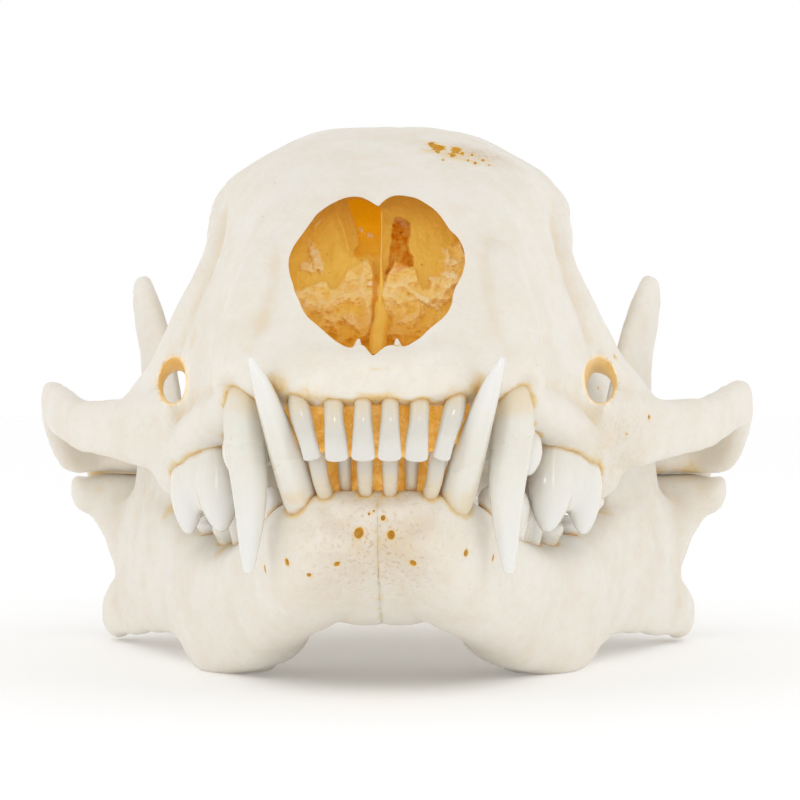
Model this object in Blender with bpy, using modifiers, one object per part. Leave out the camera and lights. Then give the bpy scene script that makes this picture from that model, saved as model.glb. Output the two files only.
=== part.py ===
"""The skull of a striped skunk, standing on its lower jaw: the cranium, the two jaw halves and 34 teeth.

Lengths below are in millimetres and become metres in each helper. The nose points to -Y, +Z is up,
+X is the animal's own left, and the jaw's ventral keels and angular processes stand on z = 0.
"""

import math

import bmesh
import bpy
import numpy as np

MM = 0.001
GAP = 0.26  # clearance round each tooth in its socket
REDUCED_GAP = 0.36  # the same round a tooth whose faces are reduced, which moves them a little
SYMPHYSIS_GAP = 0.3  # between the two jaw halves
BEYOND = 60.0  # farther out than any part of the skull
SHIFT_Y = 0.37  # moves the whole skull so that its box is centred on y = 0
THINNEST = 0.05  # a sweep's least half size
CURVE_STEP = 0.02  # share of a row looked ahead and behind for a curve's direction
SHARP_ANGLE = 40  # degrees, past which an edge is shaded sharp

# The jaw joint's axis and the round condyle that turns on it
HINGE_Y = 12.0
HINGE_Z = 9.9
CONDYLE_RADIUS = 1.45
CONDYLE_CLEARANCE = 0.3

# The directions that a section's first half size is measured along
SIDEWAYS = (1, 0, 0)
LENGTHWISE = (0, 1, 0)
UPWARD = (0, 0, 1)

# How finely each form is made before it is reduced
BONE_VOXEL = 0.4
TOOTH_VOXEL = 0.16
CRANIUM_TRIANGLES = 2450
JAW_TRIANGLES = 620
MOLAR_TRIANGLES = 96
MOLAR_SOCKET_TRIANGLES = 100

# Half sections of the cranium from nose to occiput: y, then seven (x, z) from the top midline to the bottom one
CRANIUM_SECTIONS = (
    (-37.2, (0, 18.0), (1.4, 18.0), (2.8, 17.9), (3.7, 17.5), (3.6, 16.8), (1.8, 16.5), (0, 16.5)),
    (-36.2, (0, 18.9), (2.0, 18.9), (4.0, 18.7), (5.1, 18.0), (5.2, 17.0), (3.0, 16.2), (0, 16.2)),
    (-34.4, (0, 20.3), (2.8, 20.3), (5.2, 19.9), (6.9, 18.8), (7.4, 17.1), (4.8, 16.0), (0, 16.2)),
    (-31.4, (0, 22.9), (3.2, 22.9), (5.7, 22.3), (7.6, 20.3), (8.7, 17.2), (6.5, 15.7), (0, 16.5)),
    (-28.0, (0, 25.9), (3.4, 25.8), (5.9, 24.9), (7.9, 21.4), (9.0, 17.0), (7.0, 15.3), (0, 16.6)),
    (-25.0, (0, 28.1), (3.7, 27.9), (6.5, 26.6), (8.4, 22.9), (9.7, 16.9), (7.6, 14.8), (0, 16.4)),
    (-21.0, (0, 29.8), (4.1, 29.6), (7.4, 28.0), (9.3, 23.8), (11.0, 17.0), (8.8, 14.1), (0, 15.8)),
    (-17.5, (0, 31.1), (4.5, 30.9), (8.3, 29.2), (10.0, 24.4), (12.4, 17.2), (9.8, 13.5), (0, 15.2)),
    (-14.0, (0, 32.2), (4.8, 31.9), (9.1, 29.7), (10.1, 24.6), (12.0, 17.6), (9.6, 12.9), (0, 14.5)),
    (-10.5, (0, 33.0), (5.1, 32.5), (10.1, 29.4), (9.8, 24.6), (9.4, 17.8), (8.2, 12.6), (0, 14.0)),
    (-7.0, (0, 33.3), (5.4, 32.7), (10.6, 29.1), (9.7, 24.0), (8.0, 18.0), (5.0, 14.4), (0, 14.4)),
    (-2.0, (0, 33.0), (5.4, 32.3), (10.1, 28.7), (9.3, 23.6), (7.6, 18.2), (4.4, 15.2), (0, 15.6)),
    (3.0, (0, 32.2), (5.4, 31.4), (9.9, 27.9), (10.8, 22.6), (9.0, 17.0), (4.8, 14.4), (0, 14.8)),
    (8.0, (0, 31.0), (5.6, 30.2), (10.5, 26.8), (12.6, 21.4), (11.8, 15.8), (6.0, 13.2), (0, 13.8)),
    (13.0, (0, 29.7), (5.8, 28.9), (11.3, 25.6), (13.8, 20.2), (13.4, 14.4), (7.0, 12.2), (0, 12.8)),
    (19.0, (0, 28.2), (6.0, 27.5), (11.6, 24.3), (14.6, 19.0), (14.4, 13.2), (7.0, 11.0), (0, 11.4)),
    (25.0, (0, 26.7), (5.9, 26.0), (11.3, 23.1), (14.4, 18.0), (14.8, 12.4), (7.2, 9.8), (0, 10.0)),
    (30.0, (0, 25.2), (5.4, 24.5), (10.2, 22.0), (13.2, 17.0), (13.6, 11.8), (6.8, 9.2), (0, 9.3)),
    (33.5, (0, 24.0), (4.6, 23.4), (8.8, 20.8), (11.2, 16.5), (11.0, 12.0), (5.6, 9.6), (0, 10.0)),
    (35.6, (0, 23.2), (3.2, 22.6), (6.2, 19.8), (7.6, 16.0), (7.0, 12.6), (3.6, 11.0), (0, 11.4)),
)
# The heart-shaped nasal opening, carried back into the snout the same way
NASAL_SECTIONS = (
    (-40.0, (0, 27.4), (1.6, 28.0), (4.0, 26.8), (4.9, 23.9), (4.4, 21.3), (2.9, 19.5), (0, 18.5)),
    (-32.0, (0, 27.4), (1.6, 28.0), (4.2, 26.9), (5.2, 23.9), (4.8, 21.2), (3.0, 19.3), (0, 18.5)),
    (-25.0, (0, 27.0), (1.7, 27.6), (4.2, 26.6), (5.2, 23.6), (4.7, 20.9), (2.9, 19.2), (0, 18.6)),
    (-20.0, (0, 25.6), (1.5, 25.6), (3.2, 24.8), (4.0, 22.8), (3.6, 21.0), (2.2, 19.8), (0, 19.4)),
)
SEPTUM_THICKNESS = 0.9
SEPTUM_LOW = 10.0
SEPTUM_HIGH = 35.0
SEPTUM_DEPTH = 30.0
SEPTUM_SETBACK = 2.0  # behind the rim of the opening, whose plane leans back
OPENING_BOTTOM = (-35.6, 18.4)  # y and z
OPENING_TOP = (-25.8, 28.2)

# Sweeps of the cranium's left side: x, y, z, then the half size along the stated direction and across it
ZYGOMATIC_ARCH = (
    (11.0, -17.5, 15.2, 2.6, 2.4),
    (13.8, -14.5, 14.6, 2.4, 1.8),
    (16.8, -10.5, 14.6, 1.8, 1.2),
    (19.6, -5.5, 14.95, 1.6, 0.95),
    (21.5, -0.5, 15.8, 1.6, 0.85),
    (22.6, 3.5, 16.2, 1.5, 0.8),
    (22.6, 7.2, 15.0, 1.8, 0.8),
    (21.9, 9.8, 13.3, 1.75, 0.95),
    (20.3, 11.6, 12.7, 1.25, 1.4),
    (17.5, 12.6, 12.9, 1.4, 2.0),
    (13.5, 13.4, 14.2, 2.2, 2.6),
)
ARCH_SQUARENESS = 0.75  # below 1 a section is fuller than an ellipse
ORBITAL_RIM = (
    (9.5, -6.4, 28.7, 1.0, 1.6),
    (10.0, -10.0, 26.9, 1.05, 2.2),
    (10.4, -13.0, 24.2, 1.05, 2.5),
    (12.0, -14.2, 20.8, 1.1, 2.4),
    (13.6, -14.0, 17.9, 1.0, 2.2),
    (15.6, -12.0, 15.4, 1.0, 1.4),
)
CANINE_JUGUM = (
    (7.3, -33.0, 16.9, 1.8, 2.1),
    (7.2, -31.6, 19.2, 1.8, 2.1),
    (6.9, -29.4, 22.0, 1.5, 1.9),
    (6.5, -26.6, 24.6, 1.0, 1.3),
)
INCISOR_ROOTS = (
    (0.0, -36.2, 17.7, 1.0, 1.25),
    (2.2, -36.1, 17.8, 1.0, 1.25),
    (4.0, -35.3, 18.1, 1.0, 1.25),
    (5.6, -33.6, 18.0, 0.9, 1.2),
)
ALVEOLAR_RIDGE = (
    (7.4, -33.2, 16.8, 1.1, 1.3),
    (8.0, -29.6, 16.2, 1.2, 1.3),
    (8.8, -26.2, 15.7, 1.3, 1.4),
    (10.0, -21.6, 14.9, 1.5, 1.6),
    (11.5, -17.7, 13.2, 1.9, 1.7),
    (12.0, -14.4, 12.4, 2.1, 2.1),
    (11.8, -11.0, 13.0, 1.5, 2.0),
)
LAMBDOID_CREST = (
    (16.4, 26.0, 9.8, 1.7, 1.5),
    (15.4, 29.2, 14.6, 1.2, 1.0),
    (12.0, 32.0, 19.2, 1.0, 0.85),
    (7.0, 34.2, 22.6, 0.95, 0.8),
    (0.0, 35.6, 24.5, 1.0, 0.85),
)
SAGITTAL_CREST = (
    (0.0, 2.0, 31.8, 0.5, 0.6),
    (0.0, 12.0, 29.7, 0.7, 0.55),
    (0.0, 24.0, 26.9, 0.8, 0.5),
    (0.0, 35.4, 24.3, 0.9, 0.6),
)
MASTOID_PROCESS = (
    (13.4, 21.6, 13.6, 3.4, 2.6),
    (15.2, 23.4, 11.2, 2.6, 2.0),
    (15.9, 24.4, 8.8, 1.6, 1.3),
    (16.0, 24.9, 7.0, 0.6, 0.6),
)
PAROCCIPITAL_PROCESS = (
    (10.6, 27.4, 11.6, 2.0, 2.0),
    (10.6, 28.8, 8.8, 1.2, 1.3),
    (10.4, 29.8, 6.4, 0.5, 0.6),
)
PTERYGOID_PLATE = (
    (4.9, -9.5, 13.6, 2.0, 0.8),
    (4.3, -4.5, 13.4, 2.5, 0.6),
    (4.2, 0.5, 12.9, 2.4, 0.55),
    (4.4, 4.5, 12.2, 2.2, 0.55),
    (4.8, 7.6, 11.4, 1.1, 0.5),
)
# Rounded lumps of the cranium's left side: centre, then half sizes
POSTORBITAL_PROCESS = ((9.7, -7.6, 27.9), (1.4, 2.6, 1.9))
GLENOID_ROOT = ((17.0, 12.3, 12.5), (4.6, 2.8, 1.2))
POSTGLENOID_PROCESS = ((14.6, 14.6, 11.4), (2.8, 0.9, 2.0))
AUDITORY_BULLA = ((8.9, 18.6, 10.7), (3.9, 5.6, 2.7))
EAR_OPENING_RIM = ((13.6, 18.6, 11.6), (2.6, 2.2, 2.2))
OCCIPITAL_CONDYLE = ((4.9, 34.9, 11.0), (2.2, 2.0, 2.9))
OCCIPITAL_CONDYLE_TURN = -20
# What is hollowed out of it: the orbits and canals on both sides, and two hollows on the midline
ORBIT = ((14.9, -8.2, 21.8), (5.6, 5.6, 5.4))
FORAMEN_MAGNUM = ((0, 34.5, 14.6), (4.6, 7.5, 3.7))
CHOANA = ((0, -1.5, 13.2), (3.4, 9.5, 2.5))
GLENOID_SEAT_X = (12.4, 24.0)
INFRAORBITAL_CANAL = (
    (12.5, -22.5, 17.6, 0.95, 1.4),
    (12.6, -17.0, 17.55, 0.95, 1.4),
    (12.75, -13.6, 17.1, 0.85, 1.05),
    (12.8, -9.0, 16.95, 0.85, 0.8),
)

# Sweeps of the left jaw half, with how far outward each row of the body leans toward its top
JAW_BODY = (
    (1.9, -34.8, 10.2, 1.7, 1.6),
    (2.6, -33.2, 9.2, 2.4, 2.4),
    (3.4, -31.2, 8.2, 3.0, 2.6),
    (4.1, -28.6, 7.3, 3.4, 2.6),
    (5.2, -25.6, 6.3, 3.3, 2.4),
    (6.6, -21.8, 5.2, 3.4, 2.4),
    (7.7, -17.4, 4.3, 3.75, 2.6),
    (8.7, -14.6, 4.0, 3.95, 2.9),
    (9.6, -11.6, 3.8, 4.6, 3.0),
    (11.0, -8.6, 3.9, 4.4, 2.3),
    (12.5, -5.4, 4.9, 4.2, 1.7),
    (14.2, -1.4, 5.7, 4.4, 1.4),
    (16.2, 3.8, 5.8, 4.8, 1.2),
    (17.8, 9.0, 5.3, 4.8, 1.05),
    (18.5, 12.4, 4.4, 4.0, 0.9),
)
JAW_LEANS = (0.0, 0.05, 0.1, 0.15, 0.2, 0.24, 0.22, 0.18, 0.16, 0.18, 0.18, 0.1, 0.0, -0.05, -0.05)
JAW_SQUARENESS = 0.68
CHIN = (
    (0.6, -34.7, 11.1, 0.8, 2.2),
    (0.7, -33.0, 9.4, 2.0, 3.0),
    (0.8, -30.2, 7.6, 2.3, 3.2),
    (0.8, -26.6, 5.9, 2.1, 3.2),
    (0.8, -22.8, 5.0, 1.3, 2.6),
)
CORONOID = (
    (15.5, 1.5, 6.5, 7.2, 1.2),
    (15.4, 2.4, 11.0, 6.2, 1.05),
    (15.4, 3.9, 15.6, 4.6, 0.95),
    (15.8, 5.0, 19.4, 3.2, 0.9),
    (16.4, 5.6, 22.0, 2.5, 0.9),
    (16.8, 5.9, 23.7, 1.8, 0.75),
    (17.0, 6.0, 24.6, 1.0, 0.5),
)
CORONOID_FACING = (0.3, 0.95, 0)
CONDYLE = (
    (13.0, HINGE_Y, HINGE_Z, 0.7, 0.7),
    (13.6, HINGE_Y, HINGE_Z, 1.2, 1.2),
    (15.0, HINGE_Y, HINGE_Z, CONDYLE_RADIUS, CONDYLE_RADIUS),
    (20.6, HINGE_Y, HINGE_Z, CONDYLE_RADIUS, CONDYLE_RADIUS),
    (21.4, HINGE_Y, 10.35, 1.0, 1.25),
    (22.0, HINGE_Y, 10.75, 0.6, 0.9),
    (22.4, HINGE_Y, 10.95, 0.35, 0.5),
)
CONDYLE_NECK = (
    (19.5, 11.7, 9.6, 1.9, 1.1),
    (18.7, 11.2, 7.9, 1.6, 1.5),
    (18.2, 10.6, 5.6, 1.15, 2.0),
)
ANGULAR_PROCESS = (
    (18.4, 8.6, 2.7, 2.2, 1.1),
    (19.1, 11.8, 1.9, 1.8, 1.2),
    (19.4, 14.2, 2.0, 1.4, 1.0),
)

MASSETERIC_FOSSA = ((21.0, 2.0, 9.5), (4.4, 6.6, 5.6))
MASSETERIC_FOSSA_TURN = -20

# Teeth of one side from root to tip: x, y, z, then the half width from side to side and the half depth
UPPER_INCISORS = (
    (
        (0.70, -35.3, 18.1, 0.26, 0.36),
        (0.72, -36.1, 17.0, 0.40, 0.54),
        (0.72, -36.6, 16.1, 0.48, 0.64),
        (0.72, -36.95, 15.2, 0.50, 0.62),
        (0.70, -37.05, 14.4, 0.56, 0.44),
        (0.70, -36.95, 13.15, 0.60, 0.12),
    ),
    (
        (2.14, -35.1, 18.1, 0.28, 0.36),
        (2.26, -35.9, 17.0, 0.42, 0.56),
        (2.28, -36.4, 16.1, 0.54, 0.66),
        (2.24, -36.75, 15.2, 0.54, 0.62),
        (2.16, -36.85, 14.4, 0.60, 0.44),
        (2.10, -36.75, 13.15, 0.62, 0.12),
    ),
    (
        (4.24, -34.2, 19.0, 0.30, 0.40),
        (4.34, -35.1, 17.6, 0.42, 0.66),
        (4.24, -35.7, 16.5, 0.52, 0.80),
        (4.04, -36.15, 15.6, 0.60, 0.74),
        (3.66, -36.4, 14.3, 0.50, 0.48),
        (3.38, -36.4, 13.2, 0.48, 0.14),
    ),
)
UPPER_CANINE = (
    (6.9, -28.6, 20.6, 0.50, 0.60),
    (7.1, -31.2, 18.4, 0.90, 1.10),
    (7.25, -32.9, 16.2, 1.10, 1.40),
    (7.20, -33.6, 14.4, 1.12, 1.25),
    (6.95, -33.8, 12.2, 1.02, 1.00),
    (6.88, -33.7, 10.2, 0.76, 0.76),
    (6.95, -33.3, 8.4, 0.46, 0.48),
    (7.00, -32.9, 7.0, 0.14, 0.14),
)
LOWER_INCISORS = (
    (
        (0.64, -32.4, 8.8, 0.22, 0.30),
        (0.66, -34.0, 11.2, 0.36, 0.50),
        (0.68, -34.7, 12.4, 0.44, 0.50),
        (0.68, -35.1, 13.7, 0.44, 0.36),
        (0.68, -35.2, 14.6, 0.40, 0.12),
    ),
    (
        (1.60, -31.6, 8.8, 0.20, 0.30),
        (1.74, -33.2, 11.2, 0.32, 0.50),
        (1.80, -33.9, 12.6, 0.38, 0.50),
        (1.84, -34.3, 13.9, 0.42, 0.36),
        (1.86, -34.4, 14.8, 0.40, 0.12),
    ),
    (
        (2.30, -31.8, 8.6, 0.22, 0.32),
        (2.62, -33.8, 10.9, 0.40, 0.55),
        (2.82, -34.8, 12.2, 0.48, 0.56),
        (2.90, -35.1, 13.5, 0.52, 0.42),
        (2.94, -35.0, 14.5, 0.44, 0.13),
    ),
)
LOWER_CANINE = (
    (3.0, -29.2, 7.2, 0.40, 0.55),
    (3.65, -31.8, 9.4, 0.80, 1.05),
    (4.20, -33.4, 11.2, 0.98, 1.25),
    (4.80, -34.7, 13.2, 0.92, 1.10),
    (5.42, -35.9, 15.2, 0.74, 0.90),
    (6.10, -36.7, 17.2, 0.50, 0.60),
    (6.70, -37.0, 18.7, 0.14, 0.14),
)
# Cheek teeth: x, y, z of the gum line's centre, the row's turn about Z in degrees, which way the crown points,
# then each cusp as (forward, outward, height, half length, half width, how far its point leans forward)
CHEEK_TEETH = {
    "upper_premolar_2": ((7.8, -29.7, 15.7), 6, -1, ((0.0, 0.0, 2.0, 1.05, 0.75, 0.0),)),
    "upper_premolar_3": (
        (8.2, -26.3, 15.1),
        10,
        -1,
        ((0.2, 0.0, 3.0, 1.40, 0.85, 0.0), (-1.0, 0.0, 1.0, 0.75, 0.70, 0.0)),
    ),
    "upper_premolar_4": (
        (10.2, -20.8, 14.2),
        30,
        -1,
        (
            (0.6, 0.0, 5.4, 1.70, 1.15, 1.2),
            (-2.2, 0.3, 5.7, 1.60, 0.95, 0.0),
            (-0.7, 0.15, 4.6, 1.60, 0.90, 0.3),
            (1.9, -1.9, 1.9, 1.20, 1.30, 0.0),
        ),
    ),
    "upper_molar_1": (
        (10.5, -13.7, 11.3),
        12,
        -1,
        (
            (1.0, 1.3, 2.1, 1.50, 1.15, 0.0),
            (-1.2, 1.2, 1.9, 1.50, 1.15, 0.0),
            (0.2, -1.0, 1.1, 1.80, 1.90, 0.0),
        ),
    ),
    "lower_premolar_2": ((6.0, -29.3, 10.0), 14, 1, ((0.0, 0.0, 1.7, 0.95, 0.65, 0.0),)),
    "lower_premolar_3": ((6.7, -26.6, 9.2), 17, 1, ((0.2, 0.0, 2.5, 1.30, 0.85, 0.0),)),
    "lower_premolar_4": ((7.5, -23.3, 8.5), 20, 1, ((0.2, 0.0, 3.2, 1.50, 0.90, 0.0),)),
    "lower_molar_1": (
        (8.5, -17.2, 7.7),
        18,
        1,
        (
            (1.2, 0.2, 4.2, 1.60, 1.05, 0.0),
            (2.8, 0.0, 3.4, 1.30, 0.90, 0.0),
            (0.3, -0.6, 3.0, 1.30, 0.85, 0.0),
            (-2.6, 0.0, 1.9, 2.00, 1.20, 0.0),
        ),
    ),
    "lower_molar_2": ((10.7, -10.6, 8.0), 20, 1, ((0.0, 0.0, 1.4, 1.30, 1.15, 0.0),)),
}

# How a cusp tapers: millimetres below the gum line or shares of its height above, and the share of its size
CUSP_ROOT = ((-2.2, 0.4), (-0.8, 0.7))
CUSP_CROWN = ((0.2, 1.0), (0.6, 0.78), (1.0, 0.12))

# Colours of the dry specimen: linear red, green and blue, then roughness
BONE = (0.84, 0.79, 0.69, 0.55)
ENAMEL = (0.90, 0.87, 0.80, 0.25)


def clear_scene():
    for old in list(bpy.data.objects):
        bpy.data.objects.remove(old)
    for old in list(bpy.data.collections):
        bpy.data.collections.remove(old)


def make_collection(name):
    made = bpy.data.collections.new(name)
    bpy.context.scene.collection.children.link(made)
    return made


def make_material(name, finish):
    red, green, blue, roughness = finish
    material = bpy.data.materials.new(name)
    material.use_nodes = True
    shader = material.node_tree.nodes["Principled BSDF"]
    shader.inputs["Base Color"].default_value = (red, green, blue, 1.0)
    shader.inputs["Roughness"].default_value = roughness
    shader.inputs["Metallic"].default_value = 0.0
    return material


def smooth_curve(rows, at):
    """Rows of numbers joined by a Catmull-Rom curve and read at positions from 0 to the last row."""
    rows = np.asarray(rows, float)
    last = len(rows) - 1
    at = np.clip(np.asarray(at, float), 0, last)
    low = np.minimum(at.astype(int), last - 1)
    share = (at - low)[:, None]
    before = rows[np.maximum(low - 1, 0)]
    here = rows[low]
    after = rows[low + 1]
    beyond = rows[np.minimum(low + 2, last)]
    pull_in = (after - before) / 2
    pull_out = (beyond - here) / 2
    rise = 3 * (after - here) - 2 * pull_in - pull_out
    settle = 2 * (here - after) + pull_in + pull_out
    return here + share * (pull_in + share * (rise + share * settle))


def globe(name, ring, steps):
    """A UV sphere, and for each vertex its place from pole to pole (0 to 1, ends at the caps) and its angle."""
    mesh = bpy.data.meshes.new(name)
    sphere = bmesh.new()
    bmesh.ops.create_uvsphere(sphere, u_segments=ring, v_segments=steps + 1, radius=1.0)
    sphere.to_mesh(mesh)
    sphere.free()
    points = np.array([v.co for v in mesh.vertices])
    level = np.arccos(np.clip(points[:, 2], -1, 1)) / math.pi * (steps + 1)
    along = np.clip((level - 1) / (steps - 1), 0, 1)
    pole = (level < 0.5) | (level > steps + 0.5)
    turn = np.arctan2(points[:, 1], points[:, 0])
    return mesh, along, turn, pole


def place(mesh, points, collection):
    """Gives the mesh its points, in millimetres, and makes it an object with its faces outward."""
    mesh.vertices.foreach_set("co", (points * MM).astype(np.float32).ravel())
    shape = bmesh.new()
    shape.from_mesh(mesh)
    bmesh.ops.recalc_face_normals(shape, faces=shape.faces)
    shape.to_mesh(mesh)
    shape.free()
    made = bpy.data.objects.new(mesh.name, mesh)
    collection.objects.link(made)
    return made


def section_loft(name, sections, collection, ring=40, steps=56):
    """A closed body through mirrored half sections that stand across Y."""
    mesh, along, turn, pole = globe(name, ring, steps)
    depth = np.array([[row[0]] for row in sections])
    outline = np.array([np.ravel(row[1:]) for row in sections], float)
    at = along * (len(sections) - 1)
    y = smooth_curve(depth, at)[:, 0]
    halves = smooth_curve(outline, at).reshape(len(at), -1, 2)
    places = np.abs(turn) / math.pi * (halves.shape[1] - 1)
    points = np.zeros((len(at), 3))
    for i, half in enumerate(halves):
        x, z = smooth_curve(half, places[i : i + 1])[0]
        if pole[i]:
            x, z = 0.0, half[:, 1].mean()
        points[i] = (max(x, 0.0) * np.sign(turn[i]), y[i] + SHIFT_Y, z)
    return place(mesh, points, collection)


def sweep(name, rows, toward, collection, ring=16, steps=20, squareness=1.0):
    """A closed body along a curve, with half sizes along the direction toward and across it.

    The direction is one for all rows, or a list with one for each row.
    """
    mesh, along, turn, pole = globe(name, ring, steps)
    at = along * (len(rows) - 1)
    values = smooth_curve(rows, at)
    centre = values[:, :3] + (0, SHIFT_Y, 0)
    ahead = smooth_curve(rows, at + CURVE_STEP)[:, :3] - smooth_curve(rows, at - CURVE_STEP)[:, :3]
    ahead /= np.linalg.norm(ahead, axis=1)[:, None]
    facing = np.asarray(toward, float)
    facing = smooth_curve(facing, at) if facing.ndim == 2 else np.tile(facing, (len(at), 1))
    first = facing - (facing * ahead).sum(1)[:, None] * ahead
    first /= np.linalg.norm(first, axis=1)[:, None]
    second = np.cross(ahead, first)
    reach = np.where(pole, 0.0, 1.0)[:, None]
    sizes = np.maximum(values[:, 3:5], THINNEST)
    cosine, sine = np.cos(turn), np.sin(turn)
    along_first = (np.sign(cosine) * np.abs(cosine) ** squareness)[:, None] * sizes[:, :1]
    along_second = (np.sign(sine) * np.abs(sine) ** squareness)[:, None] * sizes[:, 1:]
    points = centre + reach * (along_first * first + along_second * second)
    return place(mesh, points, collection)


def lump(name, centre, half_sizes, collection, ring=16, steps=9, turn_z=0.0):
    """An ellipsoid with its centre and half sizes in millimetres."""
    mesh, _, _, _ = globe(name, ring, steps)
    points = np.array([v.co for v in mesh.vertices]) * half_sizes
    c, s = math.cos(math.radians(turn_z)), math.sin(math.radians(turn_z))
    points = points @ np.array([[c, s, 0], [-s, c, 0], [0, 0, 1]])
    return place(mesh, points + centre + (0, SHIFT_Y, 0), collection)


def mirrored(source, collection, name=None):
    """The same body on the other side of the midline, with a mesh of its own."""
    mesh = source.data.copy()
    mesh.name = name or source.name + "_other_side"
    points = np.array([v.co for v in mesh.vertices]) / MM
    points[:, 0] *= -1
    return place(mesh, points, collection)


def on_both_sides(shapes, collection):
    return [*shapes, *(mirrored(shape, collection) for shape in shapes)]


def joined(name, shapes, collection):
    """One mesh object holding the shapes, which are removed."""
    mesh = bpy.data.meshes.new(name)
    whole = bmesh.new()
    for shape in shapes:
        whole.from_mesh(shape.data)
        bpy.data.objects.remove(shape)
    whole.to_mesh(mesh)
    whole.free()
    made = bpy.data.objects.new(name, mesh)
    collection.objects.link(made)
    return made


def settle_modifiers(shape):
    """The object's modifiers become its mesh."""
    graph = bpy.context.evaluated_depsgraph_get()
    mesh = bpy.data.meshes.new_from_object(shape.evaluated_get(graph))
    shape.modifiers.clear()
    shape.data = mesh


def remesh(shape, voxel, smoothing):
    """Makes overlapping forms one skin and softens where they meet."""
    skin = shape.modifiers.new("one_skin", "REMESH")
    skin.mode = "VOXEL"
    skin.voxel_size = voxel * MM
    soften = shape.modifiers.new("soften", "SMOOTH")
    soften.factor = 0.5
    soften.iterations = smoothing
    settle_modifiers(shape)


def cut(shape, cutters, solver="EXACT"):
    for cutter in cutters:
        cutter.hide_render = True
        cutter.display_type = "WIRE"
        carve = shape.modifiers.new("cut_" + cutter.name, "BOOLEAN")
        carve.operation = "DIFFERENCE"
        carve.solver = solver
        carve.object = cutter


def cut_sockets(bone, sockets):
    """EXACT leaves nothing of the bone here, since the sockets of neighbouring teeth run into each other."""
    cut(bone, sockets, "MANIFOLD")
    settle_modifiers(bone)


def reduce_to(shape, triangles):
    """Fewer faces, with the form kept."""
    have = sum(len(face.vertices) - 2 for face in shape.data.polygons)
    if have <= triangles:
        return
    fewer = shape.modifiers.new("fewer_faces", "DECIMATE")
    fewer.ratio = triangles / have
    settle_modifiers(shape)


def block(name, low, high, collection):
    """A box between two corners in millimetres."""
    mesh = bpy.data.meshes.new(name)
    box = bmesh.new()
    bmesh.ops.create_cube(box, size=1.0)
    bmesh.ops.scale(box, vec=[b - a for a, b in zip(low, high)], verts=box.verts)
    bmesh.ops.translate(box, vec=[(a + b) / 2 for a, b in zip(low, high)], verts=box.verts)
    box.to_mesh(mesh)
    box.free()
    return place(mesh, np.array([v.co for v in mesh.vertices]), collection)


def nasal_recess(cutters):
    """The heart-shaped recess of the nose, with the septum left standing along its middle."""
    recess = section_loft("nasal_recess", NASAL_SECTIONS, cutters, ring=28, steps=10)
    half = SEPTUM_THICKNESS / 2
    septum = block("septum", (-half, 0, SEPTUM_LOW), (half, SEPTUM_DEPTH, SEPTUM_HIGH), cutters)
    slope = (OPENING_TOP[0] - OPENING_BOTTOM[0]) / (OPENING_TOP[1] - OPENING_BOTTOM[1])
    for vertex in septum.data.vertices:
        rise = vertex.co.z / MM - OPENING_BOTTOM[1]
        vertex.co.y += (OPENING_BOTTOM[0] + SEPTUM_SETBACK + SHIFT_Y + slope * rise) * MM
    cut(recess, [septum])
    settle_modifiers(recess)
    return recess


def build_cranium(collection, cutters):
    """The cranium as one bone: braincase, snout, arches, crests and processes grown together."""
    body = section_loft("cranium_body", CRANIUM_SECTIONS, cutters)
    paired = [
        sweep("zygomatic_arch", ZYGOMATIC_ARCH, UPWARD, cutters, squareness=ARCH_SQUARENESS),
        sweep("orbital_rim", ORBITAL_RIM, SIDEWAYS, cutters),
        sweep("canine_jugum", CANINE_JUGUM, SIDEWAYS, cutters),
        sweep("incisor_roots", INCISOR_ROOTS, LENGTHWISE, cutters),
        sweep("alveolar_ridge", ALVEOLAR_RIDGE, UPWARD, cutters),
        sweep("lambdoid_crest", LAMBDOID_CREST, SIDEWAYS, cutters),
        sweep("pterygoid_plate", PTERYGOID_PLATE, UPWARD, cutters),
        lump("postorbital_process", *POSTORBITAL_PROCESS, cutters),
        lump("glenoid_root", *GLENOID_ROOT, cutters),
        lump("postglenoid_process", *POSTGLENOID_PROCESS, cutters),
        sweep("mastoid_process", MASTOID_PROCESS, LENGTHWISE, cutters),
        sweep("paroccipital_process", PAROCCIPITAL_PROCESS, LENGTHWISE, cutters),
        lump("auditory_bulla", *AUDITORY_BULLA, cutters),
        lump("ear_opening_rim", *EAR_OPENING_RIM, cutters),
        lump("occipital_condyle", *OCCIPITAL_CONDYLE, cutters, turn_z=OCCIPITAL_CONDYLE_TURN),
    ]
    middle = sweep("sagittal_crest", SAGITTAL_CREST, UPWARD, cutters)
    cranium = joined("cranium", [body, middle, *on_both_sides(paired, cutters)], collection)
    remesh(cranium, BONE_VOXEL, 3)
    carved = [
        lump("orbit", *ORBIT, cutters, 24, 15),
        sweep("infraorbital_canal", INFRAORBITAL_CANAL, SIDEWAYS, cutters, ring=12, steps=8),
    ]
    carved = on_both_sides(carved, cutters)
    foramen_magnum = lump("foramen_magnum", *FORAMEN_MAGNUM, cutters, 20, 11)
    choana = lump("choana", *CHOANA, cutters, 20, 11)
    cut(cranium, [*carved, nasal_recess(cutters), foramen_magnum, choana])
    remesh(cranium, BONE_VOXEL, 2)
    reduce_to(cranium, CRANIUM_TRIANGLES)
    seat_radius = CONDYLE_RADIUS + CONDYLE_CLEARANCE
    seat = [(x, HINGE_Y, HINGE_Z, seat_radius, seat_radius) for x in GLENOID_SEAT_X]
    cut(cranium, on_both_sides([sweep("glenoid_fossa", seat, UPWARD, cutters, 24, 3)], cutters))
    return cranium


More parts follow.
